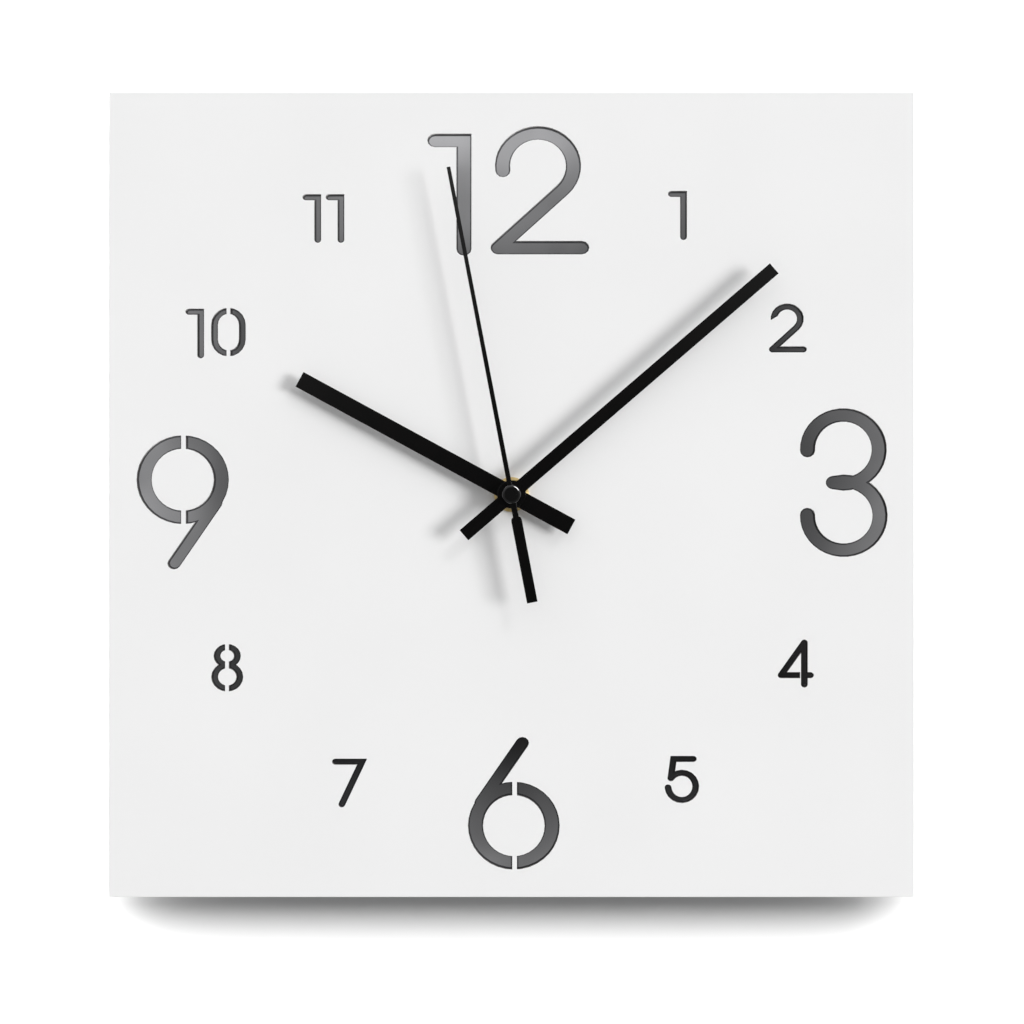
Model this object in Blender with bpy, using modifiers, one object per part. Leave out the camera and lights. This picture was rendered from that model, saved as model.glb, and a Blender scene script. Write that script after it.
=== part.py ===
"""Square wall clock: a stencil-cut panel over dark mirror, bar hands and a quartz movement with its gears."""

import math

import bmesh
import bpy
from mathutils import Vector

MM = 0.001

# Fits
GAP = 0.3 * MM  # between pieces that seat on each other or turn inside each other
RUN = 0.6 * MM  # between wheels that pass each other
OVERRUN = 1.0 * MM  # how far a cutter goes past the face it opens
WELD = 0.0001 * MM

# Panel and backing
PANEL_SIDE = 300.0 * MM
PANEL_THICKNESS = 3.0 * MM
PANEL_EDGE = 0.12 * MM
BACKING_INSET = 5.0 * MM
BACKING_THICKNESS = 2.0 * MM

# Numerals: the pen is an ellipse, so bars come out thinner than stems
BIG_PEN = 5.55 * MM
SMALL_PEN = 2.45 * MM
BAR_SHARE = 0.89
TAIL_SHARE = 0.875
BIG_WEB = 1.8 * MM
SMALL_WEB = 1.45 * MM
FINE_WEB = 0.6 * MM
CHISEL = 4.6 * MM
ARC_STEP = math.radians(10.0)
SMALL_ARC_STEP = math.radians(18.0)
ROUND_TURN = math.radians(30.0)

# Hardware at the hub
BUSH_RADIUS = 4.0 * MM
BUSH_BORE = 2.85 * MM
BUSH_TIP = 0.9 * MM
COLLAR_RADIUS = 5.5 * MM
COLLAR_THICKNESS = 0.8 * MM
SEAL_RADIUS = 9.0 * MM
SEAL_THICKNESS = 1.0 * MM
WASHER_RADIUS = 6.5 * MM
WASHER_THICKNESS = 0.6 * MM
NUT_ACROSS_FLATS = 10.8 * MM
NUT_THICKNESS = 2.0 * MM
NUT_CHAMFER = 0.5 * MM

# Hands, as clock angles clockwise from twelve
HOUR_ANGLE = 298.5
MINUTE_ANGLE = 49.3
SECOND_ANGLE = 349.1
HOUR_WIDTH = 6.2 * MM
HOUR_REACH = 89.5 * MM
HOUR_TAIL = 25.3 * MM
MINUTE_WIDTH = 4.95 * MM
MINUTE_REACH = 128.2 * MM
MINUTE_TAIL = 23.2 * MM
SECOND_ROOT = 1.8 * MM  # width at the boss, which tapers to SECOND_WIDTH at SECOND_TAPER
SECOND_WIDTH = 1.4 * MM
SECOND_TAPER = 75.0 * MM
SECOND_REACH = 123.2 * MM
SECOND_TAIL = 40.7 * MM
SECOND_NECK = 2.2 * MM
WEIGHT_WIDTH = 3.95 * MM
WEIGHT_START = 8.5 * MM
WEIGHT_SHOULDER = 1.5 * MM
BLADE_THICKNESS = 0.5 * MM
SECOND_THICKNESS = 0.35 * MM
HOUR_BOSS = 5.2 * MM
MINUTE_BOSS = 5.2 * MM
SECOND_BOSS = 2.9 * MM
COLLET_FLANGE = 0.5 * MM
COLLET_WALL = 0.6 * MM
COLLET_LIP = 0.9 * MM
MINUTE_RISE = 1.5 * MM  # how much taller the minute hand stands than a bare collet would hold it
CAP_RADIUS = 3.5 * MM
CAP_ROUND = 0.6 * MM
CAP_HEIGHT = 1.6 * MM

# Movement housing
COVER_THICKNESS = 1.4 * MM
CASE_WALL = 1.4 * MM
CASE_FACE = 1.2 * MM
CASE_CORNER = 2.5 * MM
PARTITION = 1.0 * MM
FLOOR_SPACE = 2.3 * MM
TOP_SPACE = 1.5 * MM
POST_RADIUS = 1.3 * MM
POST_INSET = 2.6 * MM

# Battery, an AA cell, and its contacts
BATTERY_RADIUS = 7.0 * MM
BATTERY_LENGTH = 49.5 * MM
NUB_RADIUS = 2.75 * MM
NUB_LENGTH = 1.0 * MM
BATTERY_SIDE_PLAY = 0.5 * MM
CELL_EDGE = 0.6 * MM
STRIP_THICKNESS = 0.4 * MM
STRIP_WIDTH = 1.6 * MM
PAD_HALF = 4.0 * MM
DIMPLE_RADIUS = 3.0 * MM
DIMPLE_HEIGHT = 0.7 * MM

# Gear train
WHEEL_THICKNESS = 0.8 * MM
PINION_MARGIN = 0.15 * MM
ARBOR_RADIUS = 0.5 * MM
SETTING_RADIUS = 0.8 * MM
BOSS_WALL = 0.8 * MM
BOSS_HEIGHT = 1.8 * MM
PLATE_THICKNESS = 0.9 * MM
MAGNET_RADIUS = 3.0 * MM
MAGNET_THICKNESS = 1.6 * MM
SPRING_THICKNESS = 0.4 * MM
SPRING_WIDTH = 1.5 * MM
PIPE_WALL = 0.75 * MM
ROTOR_DISTANCE = 7.0 * MM
SECOND_DISTANCE = 7.2 * MM
THIRD_DISTANCE = 9.0 * MM
MOTION_DISTANCE = 9.6 * MM
SMALL_PINION = 6
INTERMEDIATE_TEETH = 36
SECOND_TEETH = 30
THIRD_TEETH = 45
CENTRE_TEETH = 48
CANNON_TEETH = 10
MOTION_TEETH = 30
MOTION_PINION = 8
HOUR_TEETH = 32
ADDENDUM_SHARE = 0.8
DEDENDUM_SHARE = 1.15
TIP_SHARE = 0.12
ROOT_SHARE = 0.25
THIRD_DIRECTION = math.radians(30.0)
INTERMEDIATE_DIRECTION = math.radians(100.0)
ROTOR_DIRECTION = math.radians(90.0)
MOTION_DIRECTION = math.radians(170.0)

# Stepper coil, board and knob
STATOR_THICKNESS = 0.8 * MM
ROTOR_PLAY = 0.5 * MM
STATOR_ARM = 4.5 * MM
STATOR_HALF_SPAN = 11.0 * MM
STATOR_BASE_BELOW = 4.7 * MM
STATOR_BASE_ABOVE = 4.5 * MM
CORE_WIDTH = 2.0 * MM
CORE_THICKNESS = 0.8 * MM
BOBBIN_RADIUS = 1.9 * MM
WINDING_RADIUS = 2.6 * MM
FLANGE_RADIUS = 2.9 * MM
FLANGE_THICKNESS = 0.6 * MM
BOARD_THICKNESS = 0.8 * MM
BOARD_LEFT = 11.2 * MM
BOARD_TOP = 19.5 * MM
CHIP_RADIUS = 2.6 * MM
CHIP_HEIGHT = 1.0 * MM
CRYSTAL_RADIUS = 1.0 * MM
CRYSTAL_LENGTH = 6.0 * MM
KNOB_RADIUS = 4.8 * MM
KNOB_THICKNESS = 2.2 * MM
KNOB_RECESS = 0.4 * MM
KNOB_FLUTES = 18
FLUTE_DEPTH = 0.35 * MM

# Hanger
HANGER_THICKNESS = 2.4 * MM
HANGER_FOOT = 6.0 * MM
HANGER_FOOT_HALF = 8.5 * MM
HANGER_RISE = 2.0 * MM
HANGER_STEP = 0.2 * MM
HANGER_EYE = 4.3 * MM
HANGER_WALL = 2.5 * MM
HANGER_SIDES = 2.6 * MM

# Rows of (glyph, left, foot, width, height) of each pen centreline box, as shares of the panel side
BIG_NUMERAL_SHARES = (
    ("one", -0.0952, 0.3050, 0.0361, 0.1349),
    ("two", -0.0147, 0.3067, 0.1020, 0.1426),
    ("three", 0.3677, -0.0692, 0.0902, 0.1680),
    ("six", -0.0447, -0.4576, 0.0952, 0.1491),
    ("nine", -0.4564, -0.0857, 0.0959, 0.1509),
)
SMALL_NUMERAL_SHARES = (
    ("one", 0.1986, 0.3199, 0.0151, 0.0535),
    ("two_cut", 0.3247, 0.1803, 0.0380, 0.0533),
    ("four", 0.3349, -0.2361, 0.0366, 0.0522),
    ("five", 0.1944, -0.3796, 0.0345, 0.0511),
    ("seven", -0.2188, -0.3849, 0.0332, 0.0530),
    ("eight", -0.3688, -0.2410, 0.0313, 0.0516),
    ("one", -0.4009, 0.1729, 0.0148, 0.0542),
    ("zero", -0.3689, 0.1753, 0.0345, 0.0529),
    ("one", -0.2554, 0.3164, 0.0147, 0.0529),
    ("one", -0.2266, 0.3164, 0.0147, 0.0529),
)

# Depths, measured from the wall towards the viewer
BOSS_END = COVER_THICKNESS + BOSS_HEIGHT
ARBOR_START = COVER_THICKNESS + 2 * GAP
INTERMEDIATE_BACK = BOSS_END + RUN
INTERMEDIATE_FRONT = INTERMEDIATE_BACK + WHEEL_THICKNESS
MAGNET_BACK = INTERMEDIATE_FRONT + GAP
MAGNET_FRONT = MAGNET_BACK + MAGNET_THICKNESS
STATOR_BACK = (MAGNET_BACK + MAGNET_FRONT - STATOR_THICKNESS) / 2
STATOR_FRONT = STATOR_BACK + STATOR_THICKNESS
SECOND_WHEEL_BACK = INTERMEDIATE_FRONT + RUN + GAP
SECOND_WHEEL_FRONT = SECOND_WHEEL_BACK + WHEEL_THICKNESS
THIRD_BACK = SECOND_WHEEL_FRONT + RUN
THIRD_FRONT = THIRD_BACK + WHEEL_THICKNESS
PLATE_BACK = max(THIRD_FRONT + PINION_MARGIN, MAGNET_FRONT) + GAP
PLATE_FRONT = PLATE_BACK + PLATE_THICKNESS
CENTRE_BACK = PLATE_FRONT + GAP
CENTRE_FRONT = CENTRE_BACK + WHEEL_THICKNESS
SPRING_BACK = CENTRE_FRONT + GAP
SPRING_FRONT = SPRING_BACK + SPRING_THICKNESS
CANNON_BACK = SPRING_FRONT + GAP
CANNON_FRONT = CANNON_BACK + WHEEL_THICKNESS + PINION_MARGIN
HOUR_BACK = CANNON_FRONT + GAP + PINION_MARGIN
HOUR_FRONT = HOUR_BACK + WHEEL_THICKNESS
BAY_END = 2 * BATTERY_RADIUS + 2 * BATTERY_SIDE_PLAY
CHAMBER_END = max(HOUR_FRONT + PINION_MARGIN + RUN, BAY_END)
CASE_DEPTH = CHAMBER_END + CASE_FACE
CASE_BACK = COVER_THICKNESS + GAP
COLLAR_BACK = CASE_DEPTH + GAP
COLLAR_FRONT = COLLAR_BACK + COLLAR_THICKNESS
SEAL_FRONT = COLLAR_BACK + SEAL_THICKNESS
BACKING_BACK = max(SEAL_FRONT, COLLAR_FRONT) + GAP
BACKING_FRONT = BACKING_BACK + BACKING_THICKNESS
PANEL_BACK = BACKING_FRONT + GAP
PANEL_FRONT = PANEL_BACK + PANEL_THICKNESS
WASHER_BACK = PANEL_FRONT + GAP
WASHER_FRONT = WASHER_BACK + WASHER_THICKNESS
NUT_BACK = WASHER_FRONT + GAP
NUT_FRONT = NUT_BACK + NUT_THICKNESS
BUSH_FRONT = NUT_FRONT + BUSH_TIP
HOUR_COLLET_BACK = BUSH_FRONT + GAP
HOUR_BLADE_BACK = HOUR_COLLET_BACK + COLLET_FLANGE + GAP
HOUR_PIPE_END = HOUR_BLADE_BACK + BLADE_THICKNESS + GAP
MINUTE_COLLET_BACK = HOUR_PIPE_END + GAP
MINUTE_BLADE_BACK = MINUTE_COLLET_BACK + COLLET_FLANGE + MINUTE_RISE + GAP
MINUTE_PIPE_END = MINUTE_BLADE_BACK + BLADE_THICKNESS + GAP
SECOND_COLLET_BACK = MINUTE_PIPE_END + GAP
SECOND_BLADE_BACK = SECOND_COLLET_BACK + COLLET_FLANGE + GAP
SECOND_BLADE_FRONT = SECOND_BLADE_BACK + SECOND_THICKNESS
CAP_BACK = SECOND_BLADE_FRONT + GAP

# Radii that follow from the shafts that nest in each other
ARBOR_HOLE = ARBOR_RADIUS + GAP
MINUTE_PIPE = ARBOR_HOLE + PIPE_WALL
HOUR_BORE = MINUTE_PIPE + GAP
HOUR_PIPE = HOUR_BORE + PIPE_WALL
PANEL_HOLE = BUSH_RADIUS + GAP


def gear_module(distance, driver, driven):
    return 2 * distance / (driver + driven)


ROTOR_MODULE = gear_module(ROTOR_DISTANCE, SMALL_PINION, INTERMEDIATE_TEETH)
SECOND_MODULE = gear_module(SECOND_DISTANCE, SMALL_PINION, SECOND_TEETH)
THIRD_MODULE = gear_module(THIRD_DISTANCE, SMALL_PINION, THIRD_TEETH)
CENTRE_MODULE = gear_module(THIRD_DISTANCE, SMALL_PINION, CENTRE_TEETH)
MOTION_MODULE = gear_module(MOTION_DISTANCE, CANNON_TEETH, MOTION_TEETH)
HOUR_MODULE = gear_module(MOTION_DISTANCE, MOTION_PINION, HOUR_TEETH)

# Axes, in the plane of the dial
CENTRE_AXIS = Vector((0.0, 0.0))


def stepped(start, direction, distance):
    return start + Vector((math.cos(direction), math.sin(direction))) * distance


THIRD_AXIS = stepped(CENTRE_AXIS, THIRD_DIRECTION, THIRD_DISTANCE)
INTERMEDIATE_AXIS = stepped(CENTRE_AXIS, INTERMEDIATE_DIRECTION, SECOND_DISTANCE)
ROTOR_AXIS = stepped(INTERMEDIATE_AXIS, ROTOR_DIRECTION, ROTOR_DISTANCE)
MOTION_AXIS = stepped(CENTRE_AXIS, MOTION_DIRECTION, MOTION_DISTANCE)
BEARING_AXES = (CENTRE_AXIS, THIRD_AXIS, INTERMEDIATE_AXIS, ROTOR_AXIS)

# Plan of the movement
STATOR_HOLE = MAGNET_RADIUS + ROTOR_PLAY
COIL_HEIGHT = ROTOR_AXIS.y + STATOR_BASE_ABOVE + 2 * GAP + FLANGE_RADIUS
CHAMBER_TOP = COIL_HEIGHT + FLANGE_RADIUS + TOP_SPACE
CHAMBER_FLOOR = -(CENTRE_TEETH * CENTRE_MODULE / 2 + CENTRE_MODULE + FLOOR_SPACE)
BAY_TOP = CHAMBER_FLOOR - PARTITION
BAY_FLOOR = BAY_TOP - 2 * BATTERY_RADIUS - 2 * BATTERY_SIDE_PLAY
CASE_TOP = CHAMBER_TOP + CASE_WALL
CASE_FLOOR = BAY_FLOOR - CASE_WALL
BATTERY_HEIGHT = (BAY_TOP + BAY_FLOOR) / 2
BATTERY_DEPTH = CHAMBER_END - GAP - BATTERY_RADIUS
STRIP_SEAT = GAP + STRIP_THICKNESS
PLUS_END = 2 * GAP + STRIP_THICKNESS
MINUS_END = PLUS_END + DIMPLE_HEIGHT
CHAMBER_HALF = (BATTERY_LENGTH + NUB_LENGTH + PLUS_END + MINUS_END) / 2
CASE_HALF = CHAMBER_HALF + CASE_WALL
BATTERY_START = MINUS_END - CHAMBER_HALF
CORE_BACK = STATOR_BACK - GAP - CORE_THICKNESS
COIL_DEPTH = CORE_BACK + CORE_THICKNESS / 2
BOARD_BACK = COVER_THICKNESS + GAP
BOARD_FRONT = BOARD_BACK + BOARD_THICKNESS
TAIL_BACK = BOARD_FRONT + GAP
TAIL_FRONT = TAIL_BACK + STRIP_WIDTH
POST_FEET = [
    Vector((side * (CHAMBER_HALF - POST_INSET), height))
    for side in (-1, 1)
    for height in (CHAMBER_FLOOR + POST_INSET, CHAMBER_TOP - POST_INSET)
]


def clear_scene():
    for thing in list(bpy.data.objects):
        bpy.data.objects.remove(thing, do_unlink=True)


def new_collection(name):
    collection = bpy.data.collections.new(name)
    bpy.context.scene.collection.children.link(collection)
    return collection


clear_scene()
CLOCK = new_collection("square_wall_clock")
CUTTERS = new_collection("cutters")


def paint(name, rgb, roughness, metallic=0.0):
    made = bpy.data.materials.new(name)
    made.use_nodes = True
    shader = made.node_tree.nodes["Principled BSDF"]
    shader.inputs["Base Color"].default_value = (*rgb, 1.0)
    shader.inputs["Roughness"].default_value = roughness
    shader.inputs["Metallic"].default_value = metallic
    return made


# Frames: local X is the viewer's right, local Y is up and local Z leaves the wall
def axis_frame(name, centre):
    frame = bpy.data.objects.new(name, None)
    frame.location = (centre.x, 0.0, centre.y)
    frame.rotation_euler = (math.radians(90.0), 0.0, 0.0)
    CLOCK.objects.link(frame)
    return frame


ROOT = axis_frame("case_frame", CENTRE_AXIS)
SECONDS = axis_frame("seconds_axis", CENTRE_AXIS)
MINUTES = axis_frame("minutes_axis", CENTRE_AXIS)
HOURS = axis_frame("hours_axis", CENTRE_AXIS)
CENTRE = axis_frame("centre_axis", CENTRE_AXIS)
MOTION = axis_frame("motion_axis", MOTION_AXIS)
THIRD = axis_frame("third_axis", THIRD_AXIS)
INTERMEDIATE = axis_frame("intermediate_axis", INTERMEDIATE_AXIS)
ROTOR = axis_frame("rotor_axis", ROTOR_AXIS)


def placed(name, mesh, collection, frame):
    made = bpy.data.objects.new(name, mesh)
    made.parent = frame
    collection.objects.link(made)
    return made


def helper(name, mesh, frame=None):
    made = placed(name, mesh, CUTTERS, frame or ROOT)
    made.hide_render = True
    made.display_type = "WIRE"
    return made


def evaluated_mesh(thing):
    bpy.context.view_layer.update()
    graph = bpy.context.evaluated_depsgraph_get()
    return bpy.data.meshes.new_from_object(thing.evaluated_get(graph))


def tidy(mesh):
    work = bmesh.new()
    work.from_mesh(mesh)
    bmesh.ops.remove_doubles(work, verts=work.verts, dist=WELD)
    bmesh.ops.recalc_face_normals(work, faces=work.faces)
    work.to_mesh(mesh)
    work.free()
    return mesh


def circle(radius, steps, centre=CENTRE_AXIS):
    turns = (2 * math.pi * step / steps for step in range(steps))
    return [(centre.x + radius * math.cos(turn), centre.y + radius * math.sin(turn)) for turn in turns]


def arc(centre, radii, start, end, step=ARC_STEP):
    count = max(2, math.ceil(abs(end - start) / step))
    turns = (start + (end - start) * index / count for index in range(count + 1))
    return [(centre[0] + radii[0] * math.cos(turn), centre[1] + radii[1] * math.sin(turn)) for turn in turns]


def rounded_rectangle(left, right, low, high, radius, step=math.radians(22.5)):
    corners = (
        (right - radius, high - radius, 0.0),
        (left + radius, high - radius, 90.0),
        (left + radius, low + radius, 180.0),
        (right - radius, low + radius, 270.0),
    )
    points = []
    for across, up, start in corners:
        begin = math.radians(start)
        points += arc((across, up), (radius, radius), begin, begin + math.pi / 2, step)
    return points


def rectangle(left, right, low, high):
    return [(right, high), (left, high), (left, low), (right, low)]


def flat_mesh(name, loops, back, front):
    """A flat outline, its first loop the edge and the others holes, standing from back to front."""
    curve = bpy.data.curves.new(name, "CURVE")
    curve.dimensions = "2D"
    curve.fill_mode = "BOTH"
    curve.extrude = (front - back) / 2
    for loop in loops:
        spline = curve.splines.new("POLY")
        spline.points.add(len(loop) - 1)
        for point, place in zip(spline.points, loop):
            point.co = (place[0], place[1], 0.0, 1.0)
        spline.use_cyclic_u = True
    drawn = placed(f"{name}_outline", curve, CUTTERS, None)
    mesh = evaluated_mesh(drawn)
    bpy.data.objects.remove(drawn)
    for vertex in mesh.vertices:
        vertex.co.z += (back + front) / 2
    return tidy(mesh)


def block_mesh(name, across, up, depth):
    mesh = bpy.data.meshes.new(name)
    work = bmesh.new()
    bmesh.ops.create_cube(work, size=1.0)
    size = Vector((across[1] - across[0], up[1] - up[0], depth[1] - depth[0]))
    middle = Vector((across[1] + across[0], up[1] + up[0], depth[1] + depth[0])) / 2
    bmesh.ops.scale(work, vec=size, verts=work.verts)
    bmesh.ops.translate(work, vec=middle, verts=work.verts)
    work.to_mesh(mesh)
    work.free()
    return mesh


def rod_mesh(name, radius, back, front, centre=CENTRE_AXIS, steps=24):
    mesh = bpy.data.meshes.new(name)
    work = bmesh.new()
    bmesh.ops.create_cone(
        work, cap_ends=True, segments=steps, radius1=radius, radius2=radius, depth=front - back
    )
    bmesh.ops.translate(work, vec=(centre.x, centre.y, (front + back) / 2), verts=work.verts)
    work.to_mesh(mesh)
    work.free()
    return mesh


def turned_mesh(name, profile, steps=20):
    """A profile of (radius, depth) points, from front to back down its outer side, spun round its axis."""
    mesh = bpy.data.meshes.new(name)
    closed = min(point[0] for point in profile) > 0
    edges = [(index, index + 1) for index in range(len(profile) - 1)]
    if closed:
        edges.append((len(profile) - 1, 0))
    mesh.from_pydata([(radius, 0.0, depth) for radius, depth in profile], edges, [])
    spun = placed(f"{name}_profile", mesh, CUTTERS, None)
    screw = spun.modifiers.new("spin", "SCREW")
    screw.steps = steps
    screw.render_steps = steps
    screw.use_merge_vertices = True
    screw.merge_threshold = WELD
    made = evaluated_mesh(spun)
    bpy.data.objects.remove(spun)
    return tidy(made)


def ring_mesh(name, inner, outer, back, front, steps=20):
    return turned_mesh(name, [(inner, front), (outer, front), (outer, back), (inner, back)], steps)


def with_boolean(thing, operation, tool):
    change = thing.modifiers.new(f"{operation.lower()}_{tool.name}", "BOOLEAN")
    change.operation = operation
    change.solver = "EXACT"
    change.object = tool


def piece(name, mesh, material, frame=None, add=(), cut=(), keep=None):
    """A named piece: joined with add, opened by cut, trimmed to keep, and with its sharp edges kept sharp."""
    made = placed(name, mesh, CLOCK, frame or ROOT)
    if keep:
        with_boolean(made, "INTERSECT", helper(f"{name}_keep", keep, frame))
    for index, tool in enumerate(add):
        with_boolean(made, "UNION", helper(f"{name}_add_{index}", tool, frame))
    for index, tool in enumerate(cut):
        with_boolean(made, "DIFFERENCE", helper(f"{name}_cut_{index}", tool, frame))
    if made.modifiers:
        joined = evaluated_mesh(made)
        made.modifiers.clear()
        made.data = joined
    made.data.name = name
    made.data.materials.clear()
    made.data.materials.append(material)
    made.data.shade_smooth()
    made.data.set_sharp_from_angle(angle=math.radians(35.0))
    return made


WHITE_BOARD = paint("satin_white_board", (0.85, 0.85, 0.85), 0.45)
DARK_MIRROR = paint("dark_mirror", (0.12, 0.12, 0.13), 0.05, 1.0)
BLACK_PAINT = paint("satin_black_paint", (0.012, 0.011, 0.011), 0.4)
GLOSS_BLACK = paint("gloss_black", (0.01, 0.01, 0.01), 0.12)
BRASS = paint("brass", (0.60, 0.42, 0.16), 0.28, 1.0)
RUBBER = paint("rubber", (0.02, 0.02, 0.02), 0.8)
BLACK_PLASTIC = paint("black_case_plastic", (0.02, 0.02, 0.022), 0.5)
WHITE_PLASTIC = paint("white_acetal", (0.78, 0.77, 0.72), 0.4)
STEEL = paint("steel", (0.56, 0.57, 0.58), 0.3, 1.0)
MAGNET = paint("magnet", (0.08, 0.08, 0.085), 0.5)
COPPER = paint("enamelled_copper", (0.55, 0.20, 0.08), 0.35, 1.0)
BOARD_GREEN = paint("board_green", (0.02, 0.14, 0.06), 0.4)
RESIN = paint("black_resin", (0.01, 0.01, 0.01), 0.3)
NICKEL = paint("nickel_plate", (0.66, 0.64, 0.60), 0.25, 1.0)
CELL_SLEEVE = paint("cell_sleeve", (0.05, 0.20, 0.45), 0.35)


# Numerals
def glyph_strokes(glyph, step):
    """Centrelines in a unit box, each as (points, closed, sharp corners, pen share)."""

    def curve(centre, radii, start, end):
        return arc(centre, radii, start, end, step)

    if glyph == "one":
        return [([(0.0, 1.0), (1.0, 1.0), (1.0, 0.0)], False, True, 1.0)]
    if glyph in ("two", "two_cut"):
        bowl = curve((0.467, 0.712), (0.432, 0.288), math.radians(188.0), math.radians(-46.0))
        return [(bowl + [(-0.018, 0.0), (1.0, 0.0)], False, False, 1.0)]
    if glyph == "three":
        stub = (0.355, 0.5)
        upper = curve((0.494, 0.745), (0.494, 0.255), math.radians(182.0), math.radians(-90.0))
        lower = curve((0.5, 0.255), (0.5, 0.255), math.radians(90.0), math.radians(-182.0))
        return [(upper + [stub], False, False, 1.0), ([stub] + lower, False, False, 1.0)]
    if glyph == "four":
        corner = (0.79, 1.0)
        stem = ([corner, (0.79, 0.0)], False, False, 1.0)
        return [([corner, (0.0, 0.224), (1.0, 0.224)], False, False, 1.0), stem]
    if glyph == "five":
        bowl = curve((0.5, 0.332), (0.5, 0.332), math.radians(143.0), math.radians(-176.0))
        return [([(0.914, 1.0), (0.198, 1.0), (0.104, 0.53)], False, True, 1.0), (bowl, False, False, 1.0)]
    if glyph in ("six", "nine"):
        ring = curve((0.5, 0.31), (0.5, 0.31), 0.0, 2 * math.pi)[:-1]
        tail = [(0.07, 0.5), (0.612, 1.0)]
        if glyph == "nine":
            ring, tail = [[(1.0 - across, 1.0 - up) for across, up in path] for path in (ring, tail)]
        return [(ring, True, False, 1.0), (tail, False, False, TAIL_SHARE)]
    if glyph == "seven":
        return [([(0.0, 1.0), (1.0, 1.0), (0.24, 0.0)], False, True, 1.0)]
    if glyph == "eight":
        upper = curve((0.5, 0.786), (0.405, 0.214), 0.0, 2 * math.pi)[:-1]
        lower = curve((0.5, 0.28), (0.5, 0.28), 0.0, 2 * math.pi)[:-1]
        return [(upper, True, False, 1.0), (lower, True, False, 1.0)]
    top = curve((0.5, 0.67), (0.5, 0.33), 0.0, math.pi)
    bottom = curve((0.5, 0.33), (0.5, 0.33), math.pi, 2 * math.pi)
    return [(top + bottom, True, False, 1.0)]


def glyph_webs(glyph, web):
    """Strips of panel left across the first stroke, in the same box, as (x, low, high, width, turn)."""
    return {
        "six": [(0.51, 0.0, 0.62, web, 0.0)],
        "nine": [(0.51, 0.38, 1.0, web, 0.0)],
        "eight": [(0.49, 0.0, 1.0, web, 0.0)],
        "zero": [(0.5, 0.0, 1.0, web, 0.0)],
        "four": [(0.672, 0.224, 0.224, FINE_WEB, 0.0)],
        "two_cut": [(0.156, 0.6, 0.6, CHISEL, math.radians(31.0))],
    }.get(glyph, [])


def side_points(path, half, closed, sharp):
    """The path moved to its left by half, with its outer corners mitred or rounded."""
    count = len(path)
    points = []
    for index, here in enumerate(path):
        before = path[index - 1] if index or closed else None
        after = path[(index + 1) % count] if index < count - 1 or closed else None
        into = (here - before).normalized() if before is not None else (after - here).normalized()
        out = (after - here).normalized() if after is not None else into
        first = Vector((-into.y, into.x))
        last = Vector((-out.y, out.x))
        turn = math.atan2(into.x * out.y - into.y * out.x, into.dot(out))
        if turn < -ROUND_TURN and not sharp:
            start = math.atan2(first.y, first.x)
            spread = arc(here, (half, half), start, start + turn, ROUND_TURN / 2)
            points += [Vector(point) for point in spread]
            continue
        middle = (first + last).normalized()
        points.append(here + middle * (half / middle.dot(first)))
    return points


def pen_loops(path, pen, closed, sharp):
    """Loops that a pen as wide as pen, and BAR_SHARE as high, draws along the path."""
    half = pen / 2
    raised = [Vector((point[0], point[1] / BAR_SHARE)) for point in path]
    left = side_points(raised, half, closed, sharp)
    back = list(reversed(raised))
    right = side_points(back, half, closed, sharp)
    if closed:
        loops = [left, right]
    else:
        ends = []
        for tip, before in ((raised[-1], raised[-2]), (raised[0], raised[1])):
            away = tip - before
            start = math.atan2(away.y, away.x) + math.pi / 2
            cap = arc(tip, (half, half), start, start - math.pi, ROUND_TURN)
            ends.append([Vector(point) for point in cap[1:-1]])
        loops = [left + ends[0] + right + ends[1]]
    return [[(point.x, point.y * BAR_SHARE) for point in loop] for loop in loops]


def enclosed_area(loop):
    pairs = zip(loop, loop[1:] + loop[:1])
    return abs(sum(a[0] * b[1] - b[0] * a[1] for a, b in pairs)) / 2


def web_tool(name, web, corner, size, pen):
    across, low, high, wide, turn = web
    reach = size.y * (high - low) / 2 + pen
    mesh = flat_mesh(
        name,
        [rectangle(-wide / 2, wide / 2, -reach, reach)],
        PANEL_BACK - 2 * OVERRUN,
        PANEL_FRONT + 2 * OVERRUN,
    )
    tool = helper(name, mesh)
    tool.location = (corner.x + size.x * across, corner.y + size.y * (low + high) / 2, 0.0)
    tool.rotation_euler = (0.0, 0.0, turn)
    return tool


def stroke_tool(name, stroke, corner, size, pen):
    path, closed, sharp, share = stroke
    route = [corner + Vector((size.x * across, size.y * up)) for across, up in path]
    loops = sorted(pen_loops(route, pen * share, closed, sharp), key=enclosed_area, reverse=True)
    return helper(name, flat_mesh(name, loops, PANEL_BACK - OVERRUN, PANEL_FRONT + OVERRUN))


def numeral_tools(label, rows, pen, web, step):
    tools = []
    for number, (glyph, left, foot, width, height) in enumerate(rows):
        corner = Vector((left, foot)) * PANEL_SIDE
        size = Vector((width, height)) * PANEL_SIDE
        name = f"{label}_{number}_{glyph}"
        strokes = [
            stroke_tool(f"{name}_{index}", stroke, corner, size, pen)
            for index, stroke in enumerate(glyph_strokes(glyph, step))
        ]
        webs = [web_tool(f"{name}_web", row, corner, size, pen) for row in glyph_webs(glyph, web)]
        webbed = strokes if glyph == "eight" else strokes[:1]
        for stroke in webbed:
            for tool in webs:
                with_boolean(stroke, "DIFFERENCE", tool)
        tools += strokes
    return tools


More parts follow.
